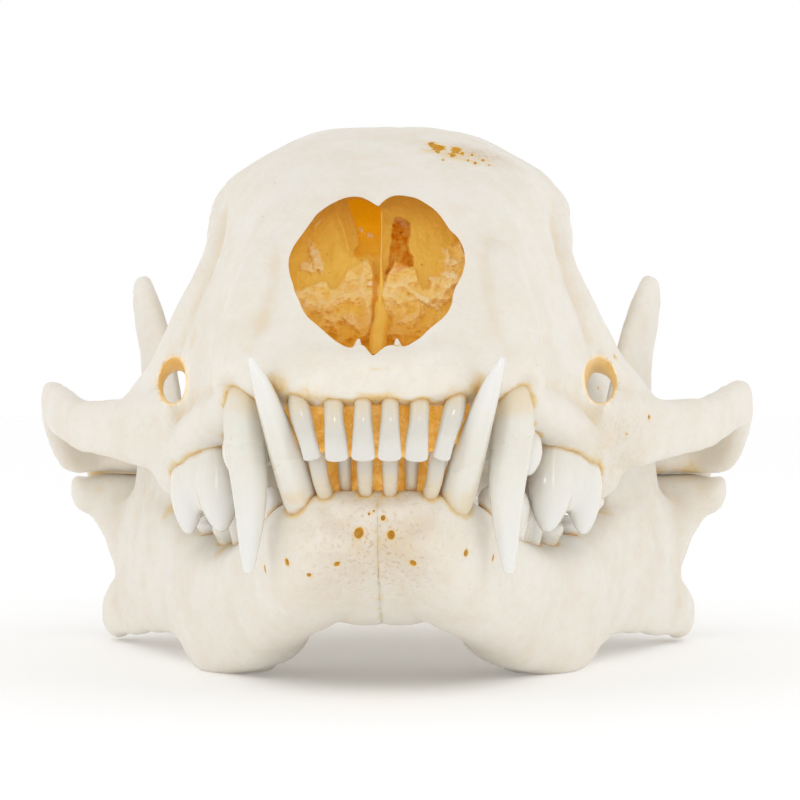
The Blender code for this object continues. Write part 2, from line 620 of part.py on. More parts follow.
def build_left_jaw(collection, cutters):
    """The left half of the lower jaw: body, chin, ramus, coronoid, condyle and angular process in one bone."""
    leans = [(lean, 0, 1) for lean in JAW_LEANS]
    parts = [
        sweep("jaw_body", JAW_BODY, leans, cutters, 24, 36, JAW_SQUARENESS),
        sweep("chin", CHIN, UPWARD, cutters),
        sweep("coronoid", CORONOID, CORONOID_FACING, cutters, ring=20),
        sweep("condyle", CONDYLE, UPWARD, cutters),
        sweep("condyle_neck", CONDYLE_NECK, SIDEWAYS, cutters),
        sweep("angular_process", ANGULAR_PROCESS, UPWARD, cutters),
    ]
    jaw = joined("left_mandible", parts, collection)
    remesh(jaw, BONE_VOXEL, 2)
    fossa = lump("masseteric_fossa", *MASSETERIC_FOSSA, cutters, 20, 11, turn_z=MASSETERIC_FOSSA_TURN)
    cut(jaw, [fossa])
    remesh(jaw, BONE_VOXEL, 2)
    reduce_to(jaw, JAW_TRIANGLES)
    return jaw


def cusp_rows(centre, turn_z, rises, cusp):
    """A cusp's sweep from the tapered root inside the bone to its point."""
    forward, outward, height, half_length, half_width, lean = cusp
    c, s = math.cos(math.radians(turn_z)), math.sin(math.radians(turn_z))
    profile = [*CUSP_ROOT, *((share * height, size) for share, size in CUSP_CROWN)]
    rows = []
    for up, size in profile:
        along = forward + lean * up / height
        x = centre[0] - along * s + outward * c
        y = centre[1] - along * c - outward * s
        rows.append((x, y, centre[2] + rises * up, half_length * size, half_width * size))
    return rows


def build_cheek_tooth(name, collection, cutters):
    """A cheek tooth, and the larger form that cuts its socket."""
    centre, turn_z, rises, cusps = CHEEK_TEETH[name]
    ahead = (-math.sin(math.radians(turn_z)), -math.cos(math.radians(turn_z)), 0)
    shapes = [
        sweep(f"{name}_cusp_{i}", cusp_rows(centre, turn_z, rises, cusp), ahead, cutters, 7, 5)
        for i, cusp in enumerate(cusps)
    ]
    tooth = joined(name, shapes, collection)
    if len(cusps) == 1:
        return tooth, socket_cutter(tooth, cutters)
    remesh(tooth, TOOTH_VOXEL, 1)
    socket = socket_cutter(tooth, cutters, REDUCED_GAP)
    remesh(socket, TOOTH_VOXEL, 0)
    reduce_to(socket, MOLAR_SOCKET_TRIANGLES)
    reduce_to(tooth, MOLAR_TRIANGLES)
    return tooth, socket


def build_teeth(collection, cutters):
    """All the teeth of the left side by name, and their socket cutters."""
    teeth, sockets = {}, {}
    front_teeth = {"upper": (UPPER_INCISORS, UPPER_CANINE), "lower": (LOWER_INCISORS, LOWER_CANINE)}
    for jaw, (incisors, canine) in front_teeth.items():
        for number, rows in enumerate(incisors, 1):
            name = f"{jaw}_incisor_{number}"
            teeth[name] = sweep(name, rows, SIDEWAYS, collection, 7, 5)
        name = f"{jaw}_canine"
        teeth[name] = sweep(name, canine, SIDEWAYS, collection, 8, 8)
    for name, tooth in teeth.items():
        sockets[name] = socket_cutter(tooth, cutters)
    for name in CHEEK_TEETH:
        teeth[name], sockets[name] = build_cheek_tooth(name, collection, cutters)
    return teeth, sockets


def socket_cutter(tooth, collection, clearance=GAP):
    """A copy of the tooth that is larger by the clearance all round."""
    mesh = tooth.data.copy()
    mesh.name = tooth.name + "_socket"
    points = np.array([v.co for v in mesh.vertices]) / MM
    normals = np.array([v.normal for v in mesh.vertices])
    return place(mesh, points + normals * clearance, collection)


def finish(shape, name, material):
    shape.name = name
    shape.data.name = name
    shape.data.materials.clear()
    shape.data.materials.append(material)
    shape.data.shade_smooth()
    shape.data.set_sharp_from_angle(angle=math.radians(SHARP_ANGLE))


def hang_on_jaw_joint(shapes, collection):
    """Parents the cranium and its teeth to an empty on the jaw joint's axis, which they turn about."""
    joint = bpy.data.objects.new("jaw_joint", None)
    joint.location = (0, (HINGE_Y + SHIFT_Y) * MM, HINGE_Z * MM)
    collection.objects.link(joint)
    for shape in shapes:
        shape.parent = joint
        shape.location = -joint.location


def main():
    clear_scene()
    skull = make_collection("striped_skunk_skull")
    cutters = make_collection("cutters")
    bone = make_material("bone", BONE)
    enamel = make_material("enamel", ENAMEL)

    teeth, sockets = build_teeth(skull, cutters)
    upper_sockets = [socket for name, socket in sockets.items() if name.startswith("upper")]
    lower_sockets = [socket for name, socket in sockets.items() if name.startswith("lower")]

    cranium = build_cranium(skull, cutters)
    cut_sockets(cranium, on_both_sides(upper_sockets, cutters))
    finish(cranium, "cranium", bone)

    jaw = build_left_jaw(skull, cutters)
    far_side = block("midline_trim", (-BEYOND, -BEYOND, -BEYOND), (SYMPHYSIS_GAP / 2, BEYOND, BEYOND), cutters)
    floor = block("floor_trim", (-BEYOND, -BEYOND, -BEYOND), (BEYOND, BEYOND, 0), cutters)
    cut(jaw, [far_side, floor])
    settle_modifiers(jaw)
    cut_sockets(jaw, lower_sockets)
    finish(jaw, "left_mandible", bone)
    finish(mirrored(jaw, skull), "right_mandible", bone)

    turning = [cranium]
    for name, tooth in teeth.items():
        other = mirrored(tooth, skull)
        finish(tooth, "left_" + name, enamel)
        finish(other, "right_" + name, enamel)
        if name.startswith("upper"):
            turning += [tooth, other]
    hang_on_jaw_joint(turning, skull)
    for helper in cutters.objects:
        helper.hide_render = True
        helper.display_type = "WIRE"


main()
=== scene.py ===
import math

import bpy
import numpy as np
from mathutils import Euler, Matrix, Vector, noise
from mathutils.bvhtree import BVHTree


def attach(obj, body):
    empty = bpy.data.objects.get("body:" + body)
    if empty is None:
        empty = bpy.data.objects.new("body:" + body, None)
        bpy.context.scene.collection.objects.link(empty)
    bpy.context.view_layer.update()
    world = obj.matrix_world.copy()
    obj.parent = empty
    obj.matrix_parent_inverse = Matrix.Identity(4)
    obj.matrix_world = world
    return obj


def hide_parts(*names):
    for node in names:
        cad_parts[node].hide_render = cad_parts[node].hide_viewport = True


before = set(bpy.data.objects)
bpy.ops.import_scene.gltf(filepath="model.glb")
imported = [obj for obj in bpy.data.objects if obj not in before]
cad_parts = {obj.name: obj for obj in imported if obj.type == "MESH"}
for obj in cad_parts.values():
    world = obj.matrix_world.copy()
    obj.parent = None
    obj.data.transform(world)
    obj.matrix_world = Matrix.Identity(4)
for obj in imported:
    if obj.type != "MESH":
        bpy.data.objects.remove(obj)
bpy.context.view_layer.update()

# The skull of a striped skunk, cleaned and dry: the cranium, two jaw halves and 34 teeth, each modelled in
# place of the plain solid that it stands for, with the nasal bones and the dried gum added to them.
# Sizes are in millimetres unless a comment says otherwise. The nose points to -Y, +Z is up, and +X is the
# animal's left.

MM = 0.001
SHIFT_Y = 0.37  # the frame's box is centred on y = 0, the tables below on the palate

# How finely the forms are made
BONE_VOXEL = 0.25
TOOTH_VOXEL = 0.1
CRANIUM_TRIANGLES = 108000
JAW_TRIANGLES = 60000
# A crease counts in full at this depth in millimetres, after so many rounds of evening out
CREASE_DEPTH = 0.02
CREASE_ROUNDS = 3
# Uneven swelling of a surface: the size of its waves, their height and the noise's seed
CRANIUM_SWELLS = ((5.0, 0.16, 0.0), (1.6, 0.035, 7.0))
JAW_SWELLS = ((4.0, 0.14, 3.0), (1.4, 0.03, 11.0))
GUM_SWELLS = ((0.8, 0.25, 0.0),)
SOCKET_SWELLS = ((0.7, 0.06, 0.0),)

SOCKET_GAP = -0.02  # negative, so that the socket's rim closes on the tooth
SYMPHYSIS_GAP = 0.004  # between the two jaw halves

# The jaw joint
HINGE_Y = 12.0
HINGE_Z = 9.9
CONDYLE_RADIUS = 1.45
CONDYLE_CLEARANCE = 0.22

# The photograph's camera: level, in front of the nose and slightly to its right
CAMERA_TARGET = (0.0, 18.0 + SHIFT_Y, 16.4)
CAMERA_DISTANCE = 222.0
CAMERA_TURN = math.radians(1.3)
PICTURE_SIZE = 800
FOCAL_PIXELS = 3161
SENSOR_WIDTH = 36.0

# The white tent's light from its sides, from above and from the camera's side
TENT_SIDE_LIGHT = 1.06
TENT_TOP_LIGHT = 0.82
TENT_FRONT_SHARE = 0.96
FLOOR_GLOW = 0.11
# Soft boxes for the gloss on the teeth: name, place in metres, width and height in metres, power
SOFT_BOXES = (
    ("left strip box", (-0.30, -0.30, 0.16), (0.02, 0.30), 0.10),
    ("right strip box", (0.34, -0.26, 0.16), (0.02, 0.30), 0.10),
    ("front upper box", (0.03, -0.36, 0.13), (0.05, 0.05), 0.055),
)
SOFT_BOX_AIM = (0, 0, 0.015)

# Colours of the clean bone and what darkens it (the crease colour is painted shade), the painted glow of
# canals and hollows, and the thin amber bone in the nose
BONE_LIGHT, BONE_WARM = (0.83, 0.79, 0.715), (0.80, 0.74, 0.64)
BONE_FLECK = (0.72, 0.63, 0.48)
BONE_PITTED = (0.67, 0.56, 0.41)
BONE_CREASE_SHADE = (0.76, 0.60, 0.38)
BONE_PORE = (0.50, 0.29, 0.10)
STAIN_LIGHT, STAIN_DARK = (0.78, 0.57, 0.27), (0.62, 0.28, 0.03)
HOLE_LIGHT, HOLE_DARK = (0.63, 0.40, 0.08), (0.58, 0.34, 0.05)
# The painted glow that the canal walls and the inside of hollows give off as emission
CANAL_GLOW, HOLE_GLOW = (0.15, 0.095, 0.01), (0.13, 0.08, 0.012)
AMBER_LIGHT, AMBER_DARK = (0.65, 0.39, 0.065), (0.62, 0.35, 0.05)
AMBER_DEEP, AMBER_LOW, AMBER_PALE_AND_HIGHLIGHT = (0.80, 0.435, 0.004), (0.52, 0.20, 0.0), (0.685, 0.55, 0.34)
RUST, RUST_DARK = (0.56, 0.18, 0.0), (0.22, 0.07, 0.004)
GUM_LIGHT, GUM_DARK, GUM_PORE = (0.88, 0.52, 0.13), (0.78, 0.40, 0.05), (0.50, 0.24, 0.03)
# Colours of a tooth from its root to its tip, of a thin tooth, of its stained edges, and the painted shade on
# its edges where they turn away from the camera
ROOT_LIGHT, ROOT_DARK = (0.78, 0.68, 0.50), (0.74, 0.60, 0.39)
ENAMEL_LIGHT, ENAMEL_DARK, ENAMEL_TIP = (0.79, 0.77, 0.70), (0.76, 0.725, 0.635), (0.81, 0.805, 0.78)
THIN_ENAMEL, THIN_NECK = (0.62, 0.585, 0.51), (0.74, 0.63, 0.44)
ENAMEL_EDGE_SHADE, ENAMEL_STAIN = (0.74, 0.61, 0.40), (0.64, 0.36, 0.09)
PAPER_LIGHT, PAPER_DARK = (0.99, 0.99, 0.99), (0.975, 0.975, 0.975)
BLACK = (0.0, 0.0, 0.0)

# Half sections of the cranium from nose to occiput: y, then seven (x, z) from the top midline to the lower
CRANIUM_SECTIONS = (
    (-37.2, (0, 18.0), (1.4, 18.0), (2.8, 17.9), (3.7, 17.5), (3.6, 16.8), (1.8, 16.5), (0, 16.5)),
    (-36.2, (0, 18.9), (2.0, 18.9), (4.0, 18.7), (5.1, 18.0), (5.2, 17.0), (3.0, 16.2), (0, 16.2)),
    (-34.4, (0, 20.3), (2.8, 20.3), (5.2, 19.9), (6.9, 18.8), (7.4, 17.1), (4.8, 16.0), (0, 16.2)),
    (-31.4, (0, 22.9), (3.2, 22.9), (5.7, 22.3), (7.6, 20.3), (8.7, 17.2), (6.5, 15.7), (0, 16.5)),
    (-28.0, (0, 25.9), (3.4, 25.8), (5.9, 24.9), (7.9, 21.4), (9.0, 17.0), (7.0, 15.3), (0, 16.6)),
    (-25.0, (0, 28.1), (3.7, 27.9), (6.5, 26.6), (8.4, 22.9), (9.7, 16.9), (7.6, 14.8), (0, 16.4)),
    (-21.0, (0, 29.8), (4.1, 29.6), (7.4, 28.0), (9.3, 23.8), (11.0, 17.0), (8.8, 14.1), (0, 15.8)),
    (-17.5, (0, 31.1), (4.5, 30.9), (8.3, 29.2), (10.0, 24.4), (12.4, 17.2), (9.8, 13.5), (0, 15.2)),
    (-14.0, (0, 32.2), (4.8, 31.9), (9.1, 29.7), (10.1, 24.6), (12.0, 17.6), (9.6, 12.9), (0, 14.5)),
    (-10.5, (0, 33.0), (5.1, 32.5), (10.1, 29.4), (9.8, 24.6), (9.4, 17.8), (8.2, 12.6), (0, 14.0)),
    (-7.0, (0, 33.3), (5.4, 32.7), (10.6, 29.1), (9.7, 24.0), (8.0, 18.0), (5.0, 14.4), (0, 14.4)),
    (-2.0, (0, 33.0), (5.4, 32.3), (10.1, 28.7), (9.3, 23.6), (7.6, 18.2), (4.4, 15.2), (0, 15.6)),
    (3.0, (0, 32.2), (5.4, 31.4), (9.9, 27.9), (10.8, 22.6), (9.0, 17.0), (4.8, 14.4), (0, 14.8)),
    (8.0, (0, 31.0), (5.6, 30.2), (10.5, 26.8), (12.6, 21.4), (11.8, 15.8), (6.0, 13.2), (0, 13.8)),
    (13.0, (0, 29.7), (5.8, 28.9), (11.3, 25.6), (13.8, 20.2), (13.4, 14.4), (7.0, 12.2), (0, 12.8)),
    (19.0, (0, 28.2), (6.0, 27.5), (11.6, 24.3), (14.6, 19.0), (14.4, 13.2), (7.0, 11.0), (0, 11.4)),
    (25.0, (0, 26.7), (5.9, 26.0), (11.3, 23.1), (14.4, 18.0), (14.8, 12.4), (7.2, 9.8), (0, 10.0)),
    (30.0, (0, 25.2), (5.4, 24.5), (10.2, 22.0), (13.2, 17.0), (13.6, 11.8), (6.8, 9.2), (0, 9.3)),
    (33.5, (0, 24.0), (4.6, 23.4), (8.8, 20.8), (11.2, 16.5), (11.0, 12.0), (5.6, 9.6), (0, 10.0)),
    (35.6, (0, 23.2), (3.2, 22.6), (6.2, 19.8), (7.6, 16.0), (7.0, 12.6), (3.6, 11.0), (0, 11.4)),
)

# The heart-shaped nasal opening in the photograph's pixels, from the top notch toward the animal's left
NASAL_OUTLINE = (
    (378.5, 205.4), (383, 200.5), (389, 196.6), (397, 194.6), (407, 195.6), (417, 198), (429, 205),
    (436, 210.5), (442, 217.5), (447, 225), (451, 230.5), (457, 236), (461.5, 243), (464.5, 251),
    (465.3, 259), (464.8, 266), (461.5, 277), (456, 287), (453.5, 295), (452, 304), (449, 311),
    (444, 317.5), (437, 323.5), (429, 330), (422, 337), (414, 342.5), (406, 346.5), (399, 346),
    (392, 345.5), (386, 347), (380, 351.5), (373.8, 355.8), (369, 351.5), (364, 346), (358, 345.5),
    (351, 348), (344, 346), (337, 342), (330, 336.5), (322.6, 330), (315, 323.5), (307.5, 317),
    (302.5, 309.5), (299, 301), (295, 293), (292.5, 284), (289.5, 275), (288, 266), (288.7, 257),
    (292.5, 247.5), (298, 239), (303.5, 231.5), (308, 225), (312, 219.5), (316, 214), (321.5, 209.5),
    (327, 205.5), (333, 202.2), (340, 198.8), (347, 196.6), (354.6, 195.8), (362, 197), (369, 200.2),
    (375, 204),
)
# The opening's plane leans back by as much as it rises, from this y at its lowest point's height
OPENING_BOTTOM = (-35.6, 18.4)
OPENING_LEAN = 1.0
# Behind the opening's plane: how deep, then how wide and how high the cavity is beside the opening
NASAL_DEPTHS = (
    (-6.0, 1.0, 1.0), (-1.5, 1.0, 1.0), (0.6, 1.0, 1.0), (2.2, 1.05, 1.03), (6.0, 1.05, 1.03),
    (9.0, 0.95, 0.95), (11.0, 0.75, 0.8), (12.5, 0.5, 0.6),
)
# The thin plate between the nostrils from the nasal floor up: x, z, how far behind the plane, half thickness
SEPTUM = (
    (-0.05, 18.6, 0.3, 0.44), (-0.05, 19.3, 0.4, 0.50), (0.0, 19.9, 0.8, 0.40), (0.0, 20.6, 1.3, 0.30),
    (0.0, 21.6, 1.4, 0.21), (0.05, 22.8, 1.4, 0.14), (0.0, 24.0, 1.4, 0.08), (0.0, 25.6, 1.4, 0.05),
    (-0.06, 27.0, 1.4, 0.045),
)
SEPTUM_HALF_LENGTH = 2.6
# The inner bones of the nose as a relief behind the opening, drawn in the photograph's pixels
RELIEF_LEFT, RELIEF_RIGHT = 284, 471
RELIEF_TOP, RELIEF_BOTTOM = 191, 360
RELIEF_THICKNESS = 0.5
SEPTUM_PIXEL = 380.5
# Millimetres behind the opening's plane
SHEET_DEPTH = 3.2
MASS_DEPTH = 1.7
HOLLOW_DEPTH = 5.2
RECESS_DEPTH = 4.8
# How far the folded sheet steps back at its edge and how far its lip stands out, and the slot's added depth
FOLD_STEP = 0.55
FOLD_LIP = 0.35
SLOT_DEPTH = 2.6
# Where the hollow, the recess, the slot beside the septum and the darker floor begin or end, in pixels
HOLLOW_FADE, HOLLOW_FOOT = 226, 258
RECESS_TOP, RECESS_FOOT = 216, 277
SLOT_PIXEL, SLOT_TOP, SLOT_FOOT = 375.2, 274, 326
LOW_FROM, LOW_SPAN = 290, 55
# The upper edge of the crumpled masses, from the animal's right side to its left
MASS_EDGE = (
    (280, 291), (300.6, 287.7), (309.9, 283.6), (322.4, 280.5), (327.6, 281), (329.7, 286.7),
    (333.8, 287.7), (338, 284.6), (343.2, 276.3), (347.3, 268), (355.6, 262.8), (364, 259), (369.8, 259.7),
    (373.3, 271.1), (376, 281), (380.5, 283), (385.8, 277.3), (395.1, 258.6), (409.7, 266.5), (415.5, 268),
    (418, 279.4), (423.2, 287.7), (429.4, 285.7), (431.5, 279.4), (439.8, 276.3), (444, 271), (445.5, 260),
    (447, 248.3), (451.2, 243), (475, 238),
)
# The right side's folded sheet and the edge of the hollow beside it, from above down
FOLD_EDGE = ((190, 333), (215, 338), (229.6, 344), (242, 347.3), (250.3, 349.4), (256.6, 356), (262, 372))
HOLLOW_EDGE = ((190, 343), (202.5, 347), (217, 351.5), (229.6, 355.6), (237.9, 358), (244, 357.7), (256, 352))
# The left side's recess: its edges toward the septum and away from it, from above down
RECESS_INNER = ((215, 395), (222, 392), (240, 391), (262, 388), (276, 384.5))
RECESS_OUTER = ((215, 400), (224, 411), (236, 410.5), (246, 408), (256, 412), (266, 415), (276, 388))
# Pale streaks and specks of thin bone: pixel, half length, half width and turn in degrees, then how pale
PALE_STREAKS = (
    ((316, 259), 17, 6, 70, 0.9), ((309, 268), 12, 5, 20, 0.7), ((361.5, 229.5), 3.2, 2.4, 60, 1.0),
    ((369.5, 235), 4.2, 3.0, 20, 1.0), ((425, 300), 20, 3.5, 32, 1.0), ((450, 262), 10, 4, 5, 0.9),
    ((452, 276), 12, 4, 15, 1.0), ((446, 252), 8, 3, 60, 0.8), ((434, 279), 7, 3, -10, 0.8),
    ((318, 222), 6, 2, -45, 0.4), ((402, 222), 8, 3, 35, 0.5), ((371, 284), 6, 3, 0, 0.9),
    ((340, 300), 16, 4, -30, 0.6), ((330, 318), 14, 4, 20, 0.6), ((352, 322), 12, 5, 40, 0.7),
    ((410, 318), 15, 4, -25, 0.6), ((398, 300), 10, 4, 50, 0.5), ((440, 302), 10, 4, -20, 0.7),
)
# Rust-brown spots: pixel and radius in pixels
RUST_SPOTS = (
    ((394, 226), 2.0), ((401, 233), 2.2), ((399, 247), 2.4), ((409, 262), 3.0), ((397, 240), 1.8),
    ((304.5, 301), 1.3),
)
# The two small spurs on the nasal floor: x, y, z and half sizes
NASAL_SPUR = (
    (1.12, -34.6, 18.7, 0.36, 0.4), (1.08, -34.7, 19.15, 0.27, 0.3), (1.04, -34.6, 19.5, 0.14, 0.16),
    (1.02, -34.5, 19.68, 0.05, 0.06),
)

# Sweeps of the cranium's left side: x, y, z, then the half size along the stated direction and across it
ZYGOMATIC_ARCH = (
    (11.0, -17.5, 15.2, 2.6, 2.4), (13.8, -14.5, 14.6, 2.4, 1.8), (16.8, -10.5, 14.6, 1.8, 1.2),
    (19.6, -5.5, 14.95, 1.6, 0.95), (21.5, -0.5, 15.8, 1.6, 0.85), (22.6, 3.5, 16.2, 1.5, 0.8),
    (22.6, 7.2, 15.0, 1.8, 0.8), (21.9, 9.8, 13.3, 1.75, 0.95), (20.3, 11.6, 12.7, 1.25, 1.4),
    (17.5, 12.6, 12.9, 1.4, 2.0), (13.5, 13.4, 14.2, 2.2, 2.6),
)
ARCH_SQUARENESS = 0.75  # below 1 a section is fuller than an ellipse
ORBITAL_RIM = (
    (9.5, -6.4, 28.7, 1.0, 1.6), (10.0, -10.0, 26.9, 1.05, 2.2), (10.4, -13.0, 24.2, 1.05, 2.5),
    (12.0, -14.2, 20.8, 1.1, 2.4), (13.6, -14.0, 17.9, 1.0, 2.2), (15.6, -12.0, 15.4, 1.0, 1.4),
)
CANINE_JUGUM = (
    (7.3, -33.0, 16.9, 1.8, 2.1), (7.2, -31.6, 19.2, 1.8, 2.1), (6.9, -29.4, 22.0, 1.5, 1.9),
    (6.5, -26.6, 24.6, 1.0, 1.3),
)
INCISOR_ROOTS = (
    (0.0, -36.2, 17.7, 1.0, 1.25), (2.2, -36.1, 17.8, 1.0, 1.25), (4.0, -35.3, 18.1, 1.0, 1.25),
    (5.6, -33.6, 18.0, 0.9, 1.2),
)
ALVEOLAR_RIDGE = (
    (7.4, -33.2, 16.8, 1.1, 1.3), (8.0, -29.6, 16.2, 1.2, 1.3), (8.8, -26.2, 15.7, 1.3, 1.4),
    (10.0, -21.6, 14.9, 1.5, 1.6), (11.5, -17.7, 13.2, 1.9, 1.7), (12.0, -14.4, 12.4, 2.1, 2.1),
    (11.8, -11.0, 13.0, 1.5, 2.0),
)
LAMBDOID_CREST = (
    (16.4, 26.0, 9.8, 1.7, 1.5), (15.4, 29.2, 14.6, 1.2, 1.0), (12.0, 32.0, 19.2, 1.0, 0.85),
    (7.0, 34.2, 22.6, 0.95, 0.8), (0.0, 35.6, 24.5, 1.0, 0.85),
)
SAGITTAL_CREST = (
    (0.0, 2.0, 31.8, 0.5, 0.6), (0.0, 12.0, 29.7, 0.7, 0.55), (0.0, 24.0, 26.9, 0.8, 0.5),
    (0.0, 35.4, 24.3, 0.9, 0.6),
)
MASTOID_PROCESS = (
    (13.4, 21.6, 13.6, 3.4, 2.6), (15.2, 23.4, 11.2, 2.6, 2.0), (15.9, 24.4, 8.8, 1.6, 1.3),
    (16.0, 24.9, 7.0, 0.6, 0.6),
)
PAROCCIPITAL_PROCESS = (
    (10.6, 27.4, 11.6, 2.0, 2.0), (10.6, 28.8, 8.8, 1.2, 1.3), (10.4, 29.8, 6.4, 0.5, 0.6),
)
PTERYGOID_PLATE = (
    (4.9, -9.5, 13.6, 2.0, 0.8), (4.3, -4.5, 13.4, 2.5, 0.6), (4.2, 0.5, 12.9, 2.4, 0.55),
    (4.4, 4.5, 12.2, 2.2, 0.55), (4.8, 7.6, 11.4, 1.1, 0.5),
)
# Rounded lumps of the cranium's left side, and what is hollowed out of it: centre, then half sizes
POSTORBITAL_PROCESS = ((9.7, -7.6, 27.9), (1.4, 2.6, 1.9))
GLENOID_ROOT = ((17.0, 12.3, 12.5), (4.6, 2.8, 1.2))
POSTGLENOID_PROCESS = ((14.6, 14.6, 11.4), (2.8, 0.9, 2.0))
GLENOID_LIP = (
    (14.5, 14.5, 11.8, 0.8, 0.8), (18.5, 14.4, 11.7, 0.8, 0.7), (20.6, 14.2, 11.5, 0.8, 0.7),
    (21.6, 13.9, 11.6, 0.7, 0.6),
)
AUDITORY_BULLA = ((8.9, 18.6, 10.7), (3.9, 5.6, 2.7))
EAR_OPENING_RIM = ((13.6, 18.6, 11.6), (2.6, 2.2, 2.2))
OCCIPITAL_CONDYLE = ((4.9, 34.9, 11.0), (2.2, 2.0, 2.9))
OCCIPITAL_CONDYLE_TURN = -20
ORBIT = ((14.9, -8.2, 21.8), (5.6, 5.6, 5.4))
FORAMEN_MAGNUM = ((0, 34.5, 14.6), (4.6, 7.5, 3.7))
CHOANA = ((0, -1.5, 13.2), (3.4, 9.5, 2.5))
GLENOID_SEAT_X = (12.4, 24.0)
INFRAORBITAL_CANAL = (
    (12.5, -22.5, 17.6, 0.95, 1.4), (12.6, -17.0, 17.55, 0.95, 1.4), (12.75, -13.6, 17.1, 0.85, 1.05),
    (12.8, -9.0, 16.95, 0.85, 0.8),
)

# Sweeps of the left jaw half, with how far outward each row of the body leans toward its top
JAW_BODY = (
    (1.9, -34.8, 10.2, 1.7, 1.6), (2.6, -33.2, 9.2, 2.4, 2.4), (3.4, -31.2, 8.2, 3.0, 2.6),
    (4.1, -28.6, 7.3, 3.4, 2.6), (5.2, -25.6, 6.3, 3.3, 2.4), (6.6, -21.8, 5.2, 3.4, 2.4),
    (7.7, -17.4, 4.3, 3.75, 2.6), (8.7, -14.6, 4.0, 3.95, 2.9), (9.6, -11.6, 3.8, 4.6, 3.0),
    (11.0, -8.6, 3.9, 4.4, 2.3), (12.5, -5.4, 4.9, 4.2, 1.7), (14.2, -1.4, 5.7, 4.4, 1.4),
    (16.2, 3.8, 5.8, 4.8, 1.2), (17.8, 9.0, 5.3, 4.8, 1.05), (18.5, 12.4, 4.4, 4.0, 0.9),
)
JAW_LEANS = (0.0, 0.05, 0.1, 0.15, 0.2, 0.24, 0.22, 0.18, 0.16, 0.18, 0.18, 0.1, 0.0, -0.05, -0.05)
JAW_SQUARENESS = 0.68
CHIN = (
    (0.6, -34.7, 11.1, 0.8, 2.2), (0.7, -33.0, 9.4, 2.0, 3.0), (0.8, -30.2, 7.6, 2.3, 3.2),
    (0.8, -26.6, 5.9, 2.1, 3.2), (0.8, -22.8, 5.0, 1.3, 2.6),
)
CORONOID = (
    (15.5, 1.5, 6.5, 7.2, 1.2), (15.4, 2.4, 11.0, 6.2, 1.05), (15.4, 3.9, 15.6, 4.6, 0.95),
    (15.8, 5.0, 19.4, 3.2, 0.9), (16.4, 5.6, 22.0, 2.5, 0.9), (16.8, 5.9, 23.7, 1.8, 0.75),
    (17.0, 6.0, 24.6, 1.0, 0.5),
)
CORONOID_FACING = (0.3, 0.95, 0)
CONDYLE = (
    (13.0, HINGE_Y, HINGE_Z, 0.7, 0.7), (13.6, HINGE_Y, HINGE_Z, 1.2, 1.2),
    (15.0, HINGE_Y, HINGE_Z, CONDYLE_RADIUS, CONDYLE_RADIUS),
    (20.6, HINGE_Y, HINGE_Z, CONDYLE_RADIUS, CONDYLE_RADIUS), (21.4, HINGE_Y, 10.35, 1.0, 1.25),
    (22.0, HINGE_Y, 10.75, 0.6, 0.9), (22.4, HINGE_Y, 10.95, 0.35, 0.5),
)
CONDYLE_NECK = (
    (19.5, 11.7, 9.6, 1.9, 1.1), (18.7, 11.2, 7.9, 1.6, 1.5), (18.2, 10.6, 5.6, 1.15, 2.0),
)
ANGULAR_PROCESS = (
    (18.4, 8.6, 2.7, 2.2, 1.1), (19.1, 11.8, 1.9, 1.8, 1.2), (19.4, 14.2, 2.0, 1.4, 1.0),
)
MASSETERIC_FOSSA = ((21.0, 2.0, 9.5), (4.4, 6.6, 5.6))
MASSETERIC_FOSSA_TURN = -20

# Teeth of one side from root to tip: x, y, z, then the half width from side to side and the half depth
UPPER_INCISORS = (
    (
        (0.70, -35.3, 18.1, 0.26, 0.36), (0.72, -36.1, 17.0, 0.40, 0.54), (0.72, -36.6, 16.1, 0.48, 0.64),
        (0.72, -36.95, 15.2, 0.52, 0.62), (0.70, -37.05, 14.4, 0.58, 0.44),
        (0.70, -36.95, 13.15, 0.65, 0.13),
    ),
    (
        (2.14, -35.1, 18.1, 0.28, 0.36), (2.26, -35.9, 17.0, 0.42, 0.56), (2.28, -36.4, 16.1, 0.54, 0.66),
        (2.24, -36.75, 15.2, 0.54, 0.62), (2.16, -36.85, 14.4, 0.60, 0.44),
        (2.08, -36.75, 13.12, 0.64, 0.13),
    ),
    (
        (4.24, -34.2, 19.0, 0.30, 0.40), (4.34, -35.1, 17.6, 0.42, 0.66), (4.24, -35.7, 16.5, 0.52, 0.80),
        (4.04, -36.15, 15.6, 0.60, 0.74), (3.66, -36.4, 14.3, 0.50, 0.48), (3.38, -36.4, 13.2, 0.48, 0.14),
    ),
)
UPPER_CANINE = (
    (6.9, -28.6, 20.6, 0.50, 0.60), (7.1, -31.2, 18.4, 0.90, 1.10), (7.25, -32.9, 16.2, 1.10, 1.40),
    (7.20, -33.6, 14.4, 1.12, 1.25), (6.95, -33.8, 12.2, 1.02, 1.00), (6.90, -33.7, 10.2, 0.80, 0.78),
    (6.98, -33.3, 8.4, 0.54, 0.54), (7.06, -32.9, 7.0, 0.27, 0.27),
)
LOWER_INCISORS = (
    (
        (0.64, -32.4, 8.8, 0.22, 0.30), (0.66, -34.0, 11.2, 0.36, 0.50), (0.68, -34.7, 12.4, 0.44, 0.50),
        (0.68, -35.1, 13.7, 0.44, 0.36), (0.68, -35.2, 14.6, 0.40, 0.12),
    ),
    (
        (1.60, -31.6, 8.8, 0.20, 0.30), (1.74, -33.2, 11.2, 0.32, 0.50), (1.80, -33.9, 12.6, 0.38, 0.50),
        (1.84, -34.3, 13.9, 0.42, 0.36), (1.86, -34.4, 14.8, 0.40, 0.12),
    ),
    (
        (2.30, -31.8, 8.6, 0.22, 0.32), (2.70, -33.8, 10.9, 0.40, 0.55), (3.05, -34.8, 12.2, 0.45, 0.56),
        (3.26, -35.1, 13.5, 0.50, 0.42), (3.36, -35.0, 14.5, 0.44, 0.13),
    ),
)
